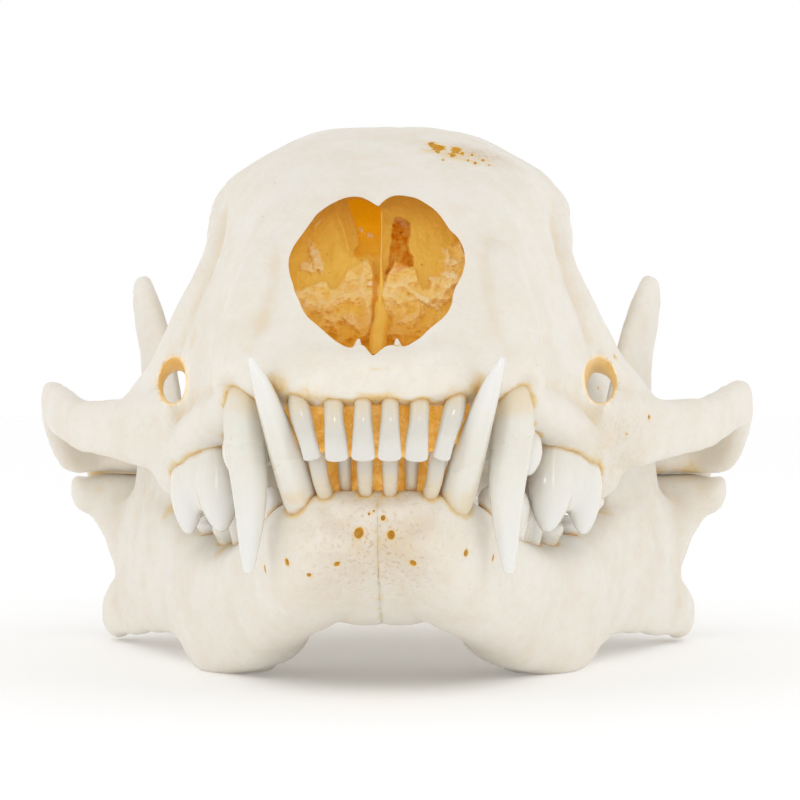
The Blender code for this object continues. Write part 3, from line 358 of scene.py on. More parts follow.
LOWER_CANINE = (
    (3.0, -29.2, 7.2, 0.40, 0.55), (3.65, -31.8, 9.4, 0.80, 1.05), (4.20, -33.4, 11.2, 0.98, 1.25),
    (4.80, -34.7, 13.2, 0.92, 1.10), (5.42, -35.9, 15.2, 0.74, 0.90), (6.10, -36.7, 17.2, 0.50, 0.60),
    (6.70, -37.0, 18.7, 0.14, 0.14),
)
# Cheek teeth: x, y, z of the gum line's centre, the row's turn about Z in degrees, 1 or -1 for a crown that
# points up or down, then each cusp: how far forward and outward it stands, its height, half length and half
# width, and how far its point leans forward
CHEEK_TEETH = {
    "upper_premolar_2": ((7.8, -29.7, 15.7), 6, -1, ((0.0, 0.0, 2.0, 1.05, 0.75, 0.0),)),
    "upper_premolar_3": ((8.2, -26.3, 15.1), 10, -1, (
        (0.2, 0.0, 3.0, 1.40, 0.85, 0.0), (-1.0, 0.0, 1.0, 0.75, 0.70, 0.0),
    )),
    "upper_premolar_4": ((10.2, -20.8, 14.2), 30, -1, (
        (0.6, 0.0, 5.4, 1.70, 1.15, 1.2), (-2.2, 0.3, 5.7, 1.60, 0.95, 0.0),
        (-0.7, 0.15, 4.3, 2.60, 1.05, 0.2), (1.9, -1.9, 1.9, 1.20, 1.30, 0.0),
    )),
    "upper_molar_1": ((10.5, -13.7, 11.3), 12, -1, (
        (1.0, 1.3, 2.1, 1.50, 1.15, 0.0), (-1.2, 1.2, 1.9, 1.50, 1.15, 0.0),
        (0.2, -1.0, 1.1, 1.80, 1.90, 0.0),
    )),
    "lower_premolar_2": ((6.0, -29.3, 10.0), 14, 1, ((0.0, 0.0, 1.7, 0.95, 0.65, 0.0),)),
    "lower_premolar_3": ((6.7, -26.6, 9.2), 17, 1, ((0.2, 0.0, 2.5, 1.30, 0.85, 0.0),)),
    "lower_premolar_4": ((7.5, -23.3, 8.5), 20, 1, ((0.2, 0.0, 3.2, 1.50, 0.90, 0.0),)),
    "lower_molar_1": ((8.5, -17.2, 7.7), 18, 1, (
        (1.2, 0.2, 4.2, 1.60, 1.05, 0.0), (2.8, 0.0, 3.4, 1.30, 0.90, 0.0),
        (0.3, -0.6, 3.0, 1.30, 0.85, 0.0), (-2.6, 0.0, 1.9, 2.00, 1.20, 0.0),
    )),
    "lower_molar_2": ((10.7, -10.6, 8.0), 20, 1, ((0.0, 0.0, 1.4, 1.30, 1.15, 0.0),)),
}
# How a cusp swells and tapers: (share of its height, share of its size), below the gum line in millimetres
CUSP_ROOT = ((-1.0, 0.42), (-0.5, 0.60))
CUSP_CROWN = ((0.0, 0.62), (0.2, 0.78), (0.45, 0.98), (0.68, 0.90), (0.88, 0.56), (1.0, 0.18))

# Small holes seen from the front, at their pixels in the photograph, with their radius and depth
JAW_HOLES = (
    ((359, 533), 0.30, 0.55), ((391, 535), 0.25, 0.5), ((383, 518), 0.15, 0.35), ((337, 564), 0.18, 0.35),
    ((413, 563), 0.22, 0.45), ((309, 575), 0.13, 0.3), ((369, 514), 0.07, 0.2), ((374, 511), 0.06, 0.2),
    ((287, 562), 0.20, 0.45), ((265, 569), 0.22, 0.45), ((466, 553), 0.19, 0.45), ((493, 558), 0.18, 0.45),
)
FACE_HOLES = (
    ((598, 388), 0.10, 0.6), ((649, 417), 0.12, 0.8), ((608, 363), 0.10, 0.6), ((587, 499), 0.08, 0.5),
    ((304, 404), 0.08, 0.5), ((586, 476), 0.08, 0.5), ((622, 496), 0.08, 0.5), ((627, 434), 0.06, 0.4),
)
# How a drilled hole tapers: how deep as a share of its depth, or how far out as a share of its width, then
# its size as a share of its radius
DRILL_TAPER = ((0.5, 1.25), (0.12, 1.1), (0.0, 1.0), (-0.5, 0.9), (-1.0, 0.55))
# A face this near to a cutter's own face, and turned against it, is inside a hollow
HOLLOW_REACH = 0.03
# The worn-through patch over the left frontal sinus: pixel, then half sizes across, along and down, and the
# size of the unevenness of its edges
WORN_EDGE = 0.45
LESION_HOLES = (
    ((437, 147), (0.36, 0.8, 0.5)), ((431, 144), (0.28, 0.6, 0.3)), ((438, 152), (0.16, 0.5, 0.3)),
    ((456, 151), (0.30, 0.7, 0.4)), ((452, 155), (0.22, 0.5, 0.25)), ((462, 153), (0.16, 0.4, 0.25)),
    ((468, 160), (0.09, 0.3, 0.15)), ((475, 163), (0.08, 0.3, 0.12)), ((472, 155), (0.07, 0.3, 0.12)),
    ((483, 160), (0.07, 0.3, 0.12)), ((489, 165), (0.06, 0.2, 0.1)), ((443, 160), (0.05, 0.2, 0.1)),
)
# How far a stain reaches round what it comes from, and how strong it is there
HOLE_STAIN = (0.15, 0.5)
SEAT_STAIN = (0.3, 0.35)
CANAL_STAINS = ((0.14, 0.40), (0.14, 0.52))
SOCKET_STAIN_REACH, SOCKET_STAIN = 0.45, 0.75
TOOTH_STAIN_REACH, TOOTH_STAIN = 0.35, 0.65
# Brown stains, and in the jaw's list two soft patches of painted shade: pixel, radius in millimetres and
# strength
FACE_STAINS = (
    ((433, 151), 0.9, 0.45), ((455, 158), 0.8, 0.4), ((474, 157), 0.9, 0.25), ((490, 165), 0.6, 0.2),
    ((420, 141), 0.5, 0.25), ((476, 141), 0.7, 0.2), ((307, 396), 0.7, 0.55), ((452, 394), 0.6, 0.4),
    ((276, 386), 0.8, 0.6), ((479, 388), 0.8, 0.6), ((284, 396), 0.6, 0.5), ((473, 398), 0.6, 0.5),
    ((378, 200), 0.5, 0.15), ((607, 440), 1.2, 0.2), ((590, 425), 1.0, 0.15), ((170, 345), 0.9, 0.15),
    ((130, 472), 1.2, 0.45), ((100, 472), 1.2, 0.45), ((690, 472), 1.4, 0.5), ((655, 472), 1.2, 0.5),
    ((596, 452), 0.5, 0.25), ((613, 470), 0.5, 0.3), ((193, 470), 0.5, 0.3), ((640, 445), 0.4, 0.2),
)
JAW_STAINS_AND_SHADE = (
    ((98, 490), 0.6, 0.22), ((145, 490), 0.7, 0.25), ((171, 510), 0.9, 0.5), ((702, 488), 0.6, 0.2),
    ((601, 512), 0.9, 0.4), ((655, 490), 0.7, 0.25), ((300, 498), 0.5, 0.3), ((467, 498), 0.5, 0.3),
    # The patches at (303, 540) and (458, 540) are painted shade where the chin's front turns into its sides
    ((380, 500), 1.0, 0.25), ((360, 545), 1.2, 0.2), ((402, 548), 1.2, 0.2), ((303, 540), 1.4, 0.12),
    ((458, 540), 1.4, 0.12), ((222, 549), 1.1, 0.5), ((205, 532), 0.8, 0.4), ((540, 549), 1.1, 0.2),
    ((562, 545), 0.9, 0.2), ((252, 545), 0.8, 0.3), ((381, 562), 3.2, 0.12),
)

# Where the bone is pitted: the worn left forehead, the cheeks above the back teeth and the chin's front, each
# with its centre, how far it spreads and how strong it is
FACE_PITTED = (
    ((5.0, -16.4, 31.0), (2.2, 2.6, 1.1), 1.0),
    ((13.0, -16.0, 13.8), (2.2, 4.0, 2.4), 0.5),
    ((-13.0, -16.0, 14.0), (2.0, 4.0, 1.6), 0.25),
)
CHIN_PITTED = (((0.0, -33.5, 8.5), (3.4, 4.0, 3.4), 0.85),)
# Brown seams on the midline: x, then the heights between which they show, their half width and strength, how
# far they wander, and the y behind which they fade
FACE_SEAM = (-0.2, 17.3, 18.7)
CHIN_SEAM = (0.0, 2.2, 11.4)
SEAM_HALF_WIDTH = 0.17
SEAM_STRENGTH = 0.42
SEAM_WANDER = 0.12
SEAM_BACK = -18

# Dried gum behind the front teeth: x, y, z, then the half height and half thickness
UPPER_GUM = (
    (-4.9, -34.9, 15.9, 0.8, 0.22), (-3.4, -35.4, 15.3, 1.5, 0.26), (-1.5, -35.8, 15.1, 1.75, 0.28),
    (0.0, -35.9, 15.05, 1.7, 0.28), (1.5, -35.8, 15.1, 1.75, 0.28), (3.4, -35.4, 15.3, 1.5, 0.26),
    (4.9, -34.9, 15.9, 0.8, 0.22),
)
LOWER_GUM = (
    (-3.3, -33.6, 12.1, 0.9, 0.22), (-1.7, -33.1, 12.4, 1.4, 0.24), (0.0, -33.9, 12.5, 1.4, 0.24),
    (1.7, -33.1, 12.4, 1.4, 0.24), (3.3, -33.6, 12.1, 0.9, 0.22),
)


def only(shape):
    """Selects one object and makes it the active one."""
    bpy.ops.object.select_all(action="DESELECT")
    shape.select_set(True)
    bpy.context.view_layer.objects.active = shape


def apply(shape, kind, **settings):
    """Adds a modifier with its settings and applies it."""
    only(shape)
    added = shape.modifiers.new(kind.lower(), kind)
    for key, value in settings.items():
        setattr(added, key, value)
    bpy.ops.object.modifier_apply(modifier=added.name)


def read_points(shape):
    flat = np.empty(len(shape.data.vertices) * 3, np.float32)
    shape.data.vertices.foreach_get("co", flat)
    return flat.reshape(-1, 3).astype(float) / MM


def write_points(shape, points):
    shape.data.vertices.foreach_set("co", (points * MM).astype(np.float32).ravel())
    shape.data.update()


def read_normals(shape):
    flat = np.empty(len(shape.data.vertices) * 3, np.float32)
    shape.data.vertex_normals.foreach_get("vector", flat)
    return flat.reshape(-1, 3).astype(float)


def face_outward(shape):
    only(shape)
    bpy.ops.object.mode_set(mode="EDIT")
    bpy.ops.mesh.select_all(action="SELECT")
    bpy.ops.mesh.normals_make_consistent(inside=False)
    bpy.ops.object.mode_set(mode="OBJECT")


def smooth_step(values):
    values = np.clip(values, 0, 1)
    return values * values * (3 - 2 * values)


def pick_rows(rows, index):
    """One row for each position, from shared rows or from each position's own rows."""
    if rows.ndim == 2:
        return rows[index]
    return rows[np.arange(len(index)), index]


def smooth_curve(rows, at):
    """Rows of numbers joined by a Catmull-Rom curve and read at positions from 0 to the last row."""
    rows = np.asarray(rows, float)
    last = rows.shape[-2] - 1
    at = np.clip(np.asarray(at, float), 0, last)
    low = np.minimum(at.astype(int), last - 1)
    share = (at - low)[:, None]
    before = pick_rows(rows, np.maximum(low - 1, 0))
    here = pick_rows(rows, low)
    after = pick_rows(rows, low + 1)
    beyond = pick_rows(rows, np.minimum(low + 2, last))
    pull_in = (after - before) / 2
    pull_out = (beyond - here) / 2
    rise = 3 * (after - here) - 2 * pull_in - pull_out
    settle = 2 * (here - after) + pull_in + pull_out
    return here + share * (pull_in + share * (rise + share * settle))


def globe(name, ring, steps):
    """A sphere, and for each vertex its share of the way between the poles, its angle and if it is a pole."""
    bpy.ops.object.select_all(action="DESELECT")
    bpy.ops.mesh.primitive_uv_sphere_add(segments=ring, ring_count=steps + 1, radius=1.0)
    shape = bpy.context.object
    shape.name = name
    points = read_points(shape) * MM
    level = np.arccos(np.clip(points[:, 2], -1, 1)) / math.pi * (steps + 1)
    along = (1 - np.cos(math.pi * np.clip((level - 1) / (steps - 1), 0, 1))) / 2
    pole = (level < 0.5) | (level > steps + 0.5)
    turn = np.arctan2(points[:, 1], points[:, 0])
    return shape, along, turn, pole


def section_loft(name, sections, ring, steps):
    """A closed body through mirrored half sections that stand across Y."""
    shape, along, turn, pole = globe(name, ring, steps)
    depth = np.array([[row[0]] for row in sections])
    outline = np.array([np.ravel(row[1:]) for row in sections], float)
    at = along * (len(sections) - 1)
    halves = smooth_curve(outline, at).reshape(len(at), -1, 2)
    edge = smooth_curve(halves, np.abs(turn) / math.pi * (halves.shape[1] - 1))
    middle = halves[:, :, 1].mean(axis=1)
    x = np.where(pole, 0.0, np.maximum(edge[:, 0], 0.0) * np.sign(turn))
    z = np.where(pole, middle, edge[:, 1])
    write_points(shape, np.column_stack([x, smooth_curve(depth, at)[:, 0] + SHIFT_Y, z]))
    face_outward(shape)
    return shape


def sweep(name, rows, toward, ring=32, steps=40, squareness=1.0, blunt=0.0, flutes=(0, 0.0)):
    """A closed body along a curve, with half sizes along the direction toward and across it.

    Its ends are rounded over the length blunt, and flutes is a number of lengthwise grooves and their depth.
    """
    shape, along, turn, pole = globe(name, ring, steps)
    at = along * (len(rows) - 1)
    values = smooth_curve(rows, at)
    ahead = smooth_curve(rows, at + 0.02)[:, :3] - smooth_curve(rows, at - 0.02)[:, :3]
    ahead /= np.linalg.norm(ahead, axis=1)[:, None]
    facing = np.asarray(toward, float)
    facing = smooth_curve(facing, at) if facing.ndim == 2 else np.tile(facing, (len(at), 1))
    first = facing - (facing * ahead).sum(1)[:, None] * ahead
    first /= np.linalg.norm(first, axis=1)[:, None]
    second = np.cross(ahead, first)
    reach = np.where(pole, 0.0, 1.0)
    if blunt:
        length = np.linalg.norm(np.diff(np.array(rows)[:, :3], axis=0), axis=1).sum()
        short = np.clip(np.minimum(along, 1 - along) * length / blunt, 0, 1)
        reach = reach * np.sqrt(1 - (1 - short) ** 2)
    count, depth = flutes
    reach = reach * (1 + depth * np.cos(count * turn))
    sizes = np.maximum(values[:, 3:5], 0.05) * reach[:, None]
    cosine, sine = np.cos(turn), np.sin(turn)
    along_first = np.sign(cosine) * np.abs(cosine) ** squareness * sizes[:, 0]
    along_second = np.sign(sine) * np.abs(sine) ** squareness * sizes[:, 1]
    points = values[:, :3] + (0, SHIFT_Y, 0) + along_first[:, None] * first + along_second[:, None] * second
    write_points(shape, points)
    face_outward(shape)
    return shape


def lump(name, centre, half_sizes, ring=32, steps=23, turn_z=0.0):
    """An ellipsoid with its centre and half sizes."""
    shape, _, _, _ = globe(name, ring, steps)
    points = read_points(shape) * MM * half_sizes
    c, s = math.cos(math.radians(turn_z)), math.sin(math.radians(turn_z))
    points = points @ np.array([[c, s, 0], [-s, c, 0], [0, 0, 1]])
    write_points(shape, points + centre + (0, SHIFT_Y, 0))
    return shape


def copy_of(shape, name):
    made = shape.copy()
    made.data = shape.data.copy()
    made.name = name
    bpy.context.scene.collection.objects.link(made)
    return made


def other_side(shape, name=None):
    """The same body across the midline."""
    made = copy_of(shape, name or shape.name + "_other_side")
    write_points(made, read_points(made) * (-1, 1, 1))
    made.data.flip_normals()
    return made


def on_both_sides(shapes):
    return [*shapes, *(other_side(shape) for shape in shapes)]


def joined(name, shapes):
    """One mesh object made of the shapes."""
    bpy.ops.object.select_all(action="DESELECT")
    for shape in shapes:
        shape.select_set(True)
    bpy.context.view_layer.objects.active = shapes[0]
    if len(shapes) > 1:
        bpy.ops.object.join()
    shapes[0].name = name
    return shapes[0]


def remesh(shape, voxel, smoothing):
    """Makes overlapping forms one skin and softens where they meet."""
    apply(shape, "REMESH", mode="VOXEL", voxel_size=voxel * MM)
    apply(shape, "SMOOTH", factor=0.5, iterations=smoothing)


def tree_of(shape):
    """A search tree of the object's faces, in metres."""
    return BVHTree.FromObject(shape, bpy.context.evaluated_depsgraph_get())


def tree_of_all(shapes):
    """One search tree of several objects' faces, in metres."""
    points, faces = [], []
    for shape in shapes:
        first = len(points)
        points += [vertex.co.copy() for vertex in shape.data.vertices]
        faces += [[first + i for i in face.vertices] for face in shape.data.polygons]
    return BVHTree.FromPolygons(points, faces)


def carve(shape, cutters):
    """Cuts each cutter out of the shape and removes it."""
    for cutter in cutters:
        apply(shape, "BOOLEAN", operation="DIFFERENCE", solver="MANIFOLD", object=cutter)
        bpy.data.objects.remove(cutter)


def reduce_to(shape, triangles):
    have = sum(len(face.vertices) - 2 for face in shape.data.polygons)
    if have > triangles:
        apply(shape, "DECIMATE", ratio=triangles / have)


def sight_line(pixel):
    """The camera's place and the direction in which it sees the photograph's pixel."""
    across = (pixel[0] - PICTURE_SIZE / 2) / FOCAL_PIXELS
    up = (PICTURE_SIZE / 2 - pixel[1]) / FOCAL_PIXELS
    turned = Euler((math.pi / 2, 0, CAMERA_TURN)).to_matrix()
    return camera_place(), (turned @ Vector((across, up, -1))).normalized()


def camera_place():
    """The camera's place, in metres."""
    x, y, z = CAMERA_TARGET
    back = CAMERA_DISTANCE
    return Vector((x + back * math.sin(CAMERA_TURN), y - back * math.cos(CAMERA_TURN), z)) * MM


def seen_on(tree, pixel):
    """Where the camera sees the surface at a pixel: the place in millimetres and the surface's direction."""
    origin, direction = sight_line(pixel)
    place, normal, _, _ = tree.ray_cast(origin, direction)
    return np.array(place) / MM, np.array(normal)


def is_seen(tree, pixel, side=0):
    """Whether the camera sees the surface at the pixel, and on that side of the midline if one is given."""
    origin, direction = sight_line(pixel)
    place = tree.ray_cast(origin, direction)[0]
    return place is not None and place.x * side >= 0


def drill(tree, pixel, radius, depth):
    """The cutter of a small tapering hole at a pixel of the photograph."""
    place, normal = seen_on(tree, pixel)
    place[1] -= SHIFT_Y
    rows = []
    for stop, size in DRILL_TAPER:
        reach = stop * (depth if stop < 0 else radius * 2)
        rows.append((*(place + normal * reach), radius * size, radius * size * 0.85))
    return sweep("drilled_hole", rows, (0.3, 0.2, 1.0), ring=20, steps=10)


def worn_hole(tree, pixel, half_sizes):
    """The cutter of an irregular hole at a pixel of the photograph."""
    place, _ = seen_on(tree, pixel)
    hole = lump("worn_hole", place - (0, SHIFT_Y, 0), half_sizes)
    swell(hole, ((WORN_EDGE, half_sizes[0] * 0.75, pixel[0]),))
    return hole


def swell(shape, swells):
    """Uneven swelling of the surface, as bone has, by at most each amount."""
    for size, amount, seed in swells:
        points = read_points(shape)
        out = rough(points, size, seed) * amount
        write_points(shape, points + read_normals(shape) * out[:, None])


def paint(shape, name, values):
    """Keeps a number for each vertex, for the material to read."""
    layer = shape.data.attributes.new(name, "FLOAT", "POINT")
    layer.data.foreach_set("value", np.asarray(values, np.float32))


def nearness(points, tree, reach):
    """1 on the tree's surface, falling to 0 at the distance reach."""
    near = np.zeros(len(points))
    for i, point in enumerate(points):
        found = tree.find_nearest(Vector(point * MM), reach * MM)
        if found[0] is not None:
            near[i] = 1 - found[3] / MM / reach
    return near


def hollowness(shape):
    """How deep each vertex lies in a crease, from 0 on open ground to 1."""
    points = read_points(shape)
    normals = read_normals(shape)
    edges = np.empty(len(shape.data.edges) * 2, np.int32)
    shape.data.edges.foreach_get("vertices", edges)
    start, end = edges.reshape(-1, 2).T
    links = np.bincount(start, minlength=len(points)) + np.bincount(end, minlength=len(points))

    def mean_round(values):
        total = np.bincount(start, values[end], len(points)) + np.bincount(end, values[start], len(points))
        return total / np.maximum(links, 1)

    lift = np.column_stack([mean_round(points[:, axis]) for axis in range(3)]) - points
    depth = (lift * normals).sum(1)
    for _ in range(CREASE_ROUNDS):
        depth = (depth + mean_round(depth)) / 2
    return np.clip(depth / CREASE_DEPTH, 0, 1)


def cusp_rows(centre, turn_z, rises, cusp):
    """A cusp's sweep from the tapered root inside the bone to its point."""
    forward, outward, height, half_length, half_width, lean = cusp
    c, s = math.cos(math.radians(turn_z)), math.sin(math.radians(turn_z))
    profile = [*CUSP_ROOT, *((share * height, size) for share, size in CUSP_CROWN)]
    rows = []
    for up, size in profile:
        along = forward + lean * up / height
        x = centre[0] - along * s + outward * c
        y = centre[1] - along * c - outward * s
        rows.append((x, y, centre[2] + rises * up, half_length * size, half_width * size))
    return rows


def cheek_tooth(name):
    centre, turn_z, rises, cusps = CHEEK_TEETH[name]
    ahead = (-math.sin(math.radians(turn_z)), -math.cos(math.radians(turn_z)), 0)
    shapes = [
        sweep(f"{name}_cusp_{i}", cusp_rows(centre, turn_z, rises, cusp), ahead, blunt=0.25)
        for i, cusp in enumerate(cusps)
    ]
    tooth = joined(name, shapes)
    remesh(tooth, TOOTH_VOXEL, 20)
    return tooth


def left_teeth():
    """All the teeth of the left side by name, and where each one's crown begins and ends in z."""
    teeth, crowns = {}, {}
    for jaw, incisors, canine in (
        ("upper", UPPER_INCISORS, UPPER_CANINE),
        ("lower", LOWER_INCISORS, LOWER_CANINE),
    ):
        for number, rows in enumerate(incisors, 1):
            name = f"{jaw}_incisor_{number}"
            teeth[name] = sweep(name, rows, (1, 0, 0), ring=32, steps=44, squareness=0.82, blunt=0.32)
            crowns[name] = (rows[1][2], rows[-1][2])
        name = f"{jaw}_canine"
        teeth[name] = sweep(name, canine, (1, 0, 0), ring=56, steps=72, blunt=0.45, flutes=(7, 0.014))
        crowns[name] = (canine[2][2], canine[-1][2])
    for name, (centre, _, rises, cusps) in CHEEK_TEETH.items():
        teeth[name] = cheek_tooth(name)
        crowns[name] = (centre[2] - rises * 0.8, centre[2] + rises * max(cusp[2] for cusp in cusps))
    return teeth, crowns


def on_opening_plane(pixel, depth):
    """The place that the camera sees at a pixel, so far behind the nasal opening's leaning plane."""
    origin, direction = sight_line(pixel)
    start = np.array(origin) / MM
    ahead = np.array(direction)
    short = OPENING_BOTTOM[0] + SHIFT_Y + depth - start[1] + (start[2] - OPENING_BOTTOM[1]) * OPENING_LEAN
    return start + ahead * short / (ahead[1] - ahead[2] * OPENING_LEAN)


def nasal_cavity():
    """The cutter of the heart-shaped opening and the cavity behind it."""
    cavity, along, turn, pole = globe("nasal_cavity", 192, 48)
    rim = np.array([on_opening_plane(pixel, 0.0)[[0, 2]] for pixel in (*NASAL_OUTLINE, NASAL_OUTLINE[0])])
    centre = rim.mean(axis=0)
    depth, wide, high = smooth_curve(NASAL_DEPTHS, along * (len(NASAL_DEPTHS) - 1)).T
    out = smooth_curve(rim, turn / math.tau % 1 * (len(rim) - 1)) - centre
    out[pole] = 0
    x = centre[0] + out[:, 0] * wide
    z = centre[1] + out[:, 1] * high
    y = OPENING_BOTTOM[0] + SHIFT_Y + depth + (z - OPENING_BOTTOM[1]) * OPENING_LEAN
    write_points(cavity, np.column_stack([x, y, z]))
    face_outward(cavity)
    return cavity


def crests(points, size, seed):
    """Thin branching crests, from 0 between them to 1 on top, where a noise passes through zero."""
    values = np.array([noise.noise(Vector(point)) for point in points / size + seed])
    return (1 - np.clip(np.abs(values) * 4, 0, 1)) ** 2


def rough(points, size, seed):
    """Soft irregular noise from about -1 to 1."""
    return np.array([noise.fractal(Vector(point), 1.0, 2.0, 3) for point in points / size + seed])


def edge_at(edge, at):
    """A drawn edge read at other positions: the second number of its points for the first."""
    known, values = np.array(edge, float).T
    return np.interp(at, known, values)


def inside_band(at, low, high, soft):
    """0 outside two values and 1 between them, with a soft rise inside each."""
    return smooth_step((at - low) / soft) * smooth_step((high - at) / soft)


def torn_streaks(across, down, torn):
    """Each pale streak's strength at each pixel."""
    for (x, y), length, width, turn, strength in PALE_STREAKS:
        c, s = math.cos(math.radians(turn)), math.sin(math.radians(turn))
        along = ((across - x) * c + (down - y) * s) / length
        beside = ((down - y) * c - (across - x) * s) / width
        yield smooth_step((np.exp(-(along**2 + beside**2)) + torn - 0.3) / 0.35) * strength


def nasal_layers(across, down):
    """At each pixel of the nose, its depth behind the opening's plane and how strong each mark is there."""
    flat = np.column_stack([across, down, np.zeros(len(across))])
    wander = rough(flat, 9.0, 3.0) * 3
    right = across < SEPTUM_PIXEL
    past_fold = across - edge_at(FOLD_EDGE, down)
    depth = SHEET_DEPTH + FOLD_STEP * smooth_step(past_fold / 2.5) * right
    depth = depth - FOLD_LIP * np.exp(-((past_fold / 4.0) ** 2)) * right
    hollow = smooth_step((across + 0.4 * wander - edge_at(HOLLOW_EDGE, down)) / 3)
    hollow *= right * smooth_step((HOLLOW_FOOT + wander - down) / 6)
    depth = depth + (HOLLOW_DEPTH - depth) * hollow
    recess = smooth_step((across + 0.5 * wander - edge_at(RECESS_INNER, down)) / 2.5)
    recess *= smooth_step((edge_at(RECESS_OUTER, down) - across - 0.6 * wander) / 2.5)
    recess *= smooth_step((down - RECESS_TOP - wander) / 5) * smooth_step((RECESS_FOOT - down) / 4)
    depth = depth + (RECESS_DEPTH - depth) * recess
    mass = smooth_step((down - edge_at(MASS_EDGE, across) + 0.8 * wander) / 3.5)
    large = crests(flat * (1, 0.7, 1), 26.0, 4.0)
    small = crests(flat, 9.0, 8.0)
    patches = smooth_step(rough(flat * (1, 1.3, 1), 17.0, 21.0) * 1.6 + 0.5)
    crumple = 0.4 * large + 0.1 * small + 0.22 * patches + 0.3 * rough(flat, 14.0, 6.0) + 0.3
    depth = depth + (MASS_DEPTH + 0.6 - crumple - depth) * mass
    slot = np.exp(-(((across - SLOT_PIXEL) / 1.8) ** 2)) * inside_band(down, SLOT_TOP, SLOT_FOOT, 6)
    depth = depth + SLOT_DEPTH * slot
    depth = depth + 0.25 * rough(flat, 30.0, 12.0) + 0.06 * rough(flat, 4.0, 15.0)
    low = smooth_step((down - LOW_FROM) / LOW_SPAN)
    # Paler on the raised crumpled crests, which is painted highlight, and in the torn streaks, which are the
    # bone's own paler colour; less so toward the bottom
    pale_and_crest_highlight = mass * np.clip(0.1 + 0.25 * large + 0.15 * small + 0.2 * patches - 0.3 * low, 0, 1)
    for streak in torn_streaks(across, down, 0.35 * rough(flat, 5.0, 41.0)):
        pale_and_crest_highlight = np.maximum(pale_and_crest_highlight, streak * 0.75)
        depth = depth - 0.25 * streak
    deep = hollow * (1 - 0.55 * smooth_step((down - HOLLOW_FADE) / 22))
    rust = recess * np.clip(0.6 + 0.15 * wander, 0, 1)
    for (x, y), radius in RUST_SPOTS:
        rust = np.maximum(rust, 1.4 * np.exp(-((across - x) ** 2 + (down - y) ** 2) / radius**2))
    return depth, {"pale_and_crest_highlight": pale_and_crest_highlight, "deep": np.maximum(deep, slot), "rust": rust, "low": mass * low}


def nasal_relief():
    """The crumpled masses, folded sheets, hollow and recess inside the nose, as one thin curved bone."""
    wide, high = RELIEF_RIGHT - RELIEF_LEFT, RELIEF_BOTTOM - RELIEF_TOP
    bpy.ops.object.select_all(action="DESELECT")
    bpy.ops.mesh.primitive_grid_add(x_subdivisions=wide, y_subdivisions=high, size=2.0)
    relief = bpy.context.object
    relief.name = "nasal_inner_bones"
    grid = read_points(relief) * MM
    across = RELIEF_LEFT + (grid[:, 0] + 1) / 2 * wide
    down = RELIEF_BOTTOM - (grid[:, 1] + 1) / 2 * high
    depth, marks = nasal_layers(across, down)
    places = np.empty((len(across), 3))
    for i, pixel in enumerate(zip(across, down)):
        places[i] = on_opening_plane(pixel, depth[i])
    write_points(relief, places)
    apply(relief, "SOLIDIFY", thickness=RELIEF_THICKNESS * MM, offset=-1.0)
    write_points(relief, np.vstack([places, places + (0, RELIEF_THICKNESS, 0)]))
    face_outward(relief)
    for name, values in marks.items():
        paint(relief, name, np.tile(values, 2))
    return relief


def nasal_bones(material, bone):
    """The septum, the inner bones and the two spurs of the nose, in the cranium."""
    rows = [
        (x, OPENING_BOTTOM[0] + behind + SEPTUM_HALF_LENGTH, z, SEPTUM_HALF_LENGTH, half)
        for x, z, behind, half in SEPTUM
    ]
    septum = sweep("nasal_septum", rows, (0, 1, 0), ring=48, steps=60, squareness=0.6)
    points = read_points(septum)
    points[:, 1] += (points[:, 2] - OPENING_BOTTOM[1]) * OPENING_LEAN
    write_points(septum, points)
    paint(septum, "low", 0.55 * np.clip((22.5 - points[:, 2]) / 2.5, 0, 1))
    for piece in (septum, nasal_relief()):
        finish(piece, "cranium", None, material)
    spurs = joined("nasal_spurs", on_both_sides([sweep("nasal_spur", NASAL_SPUR, (1, 0, 0), blunt=0.1)]))
    finish(spurs, "cranium", None, bone)


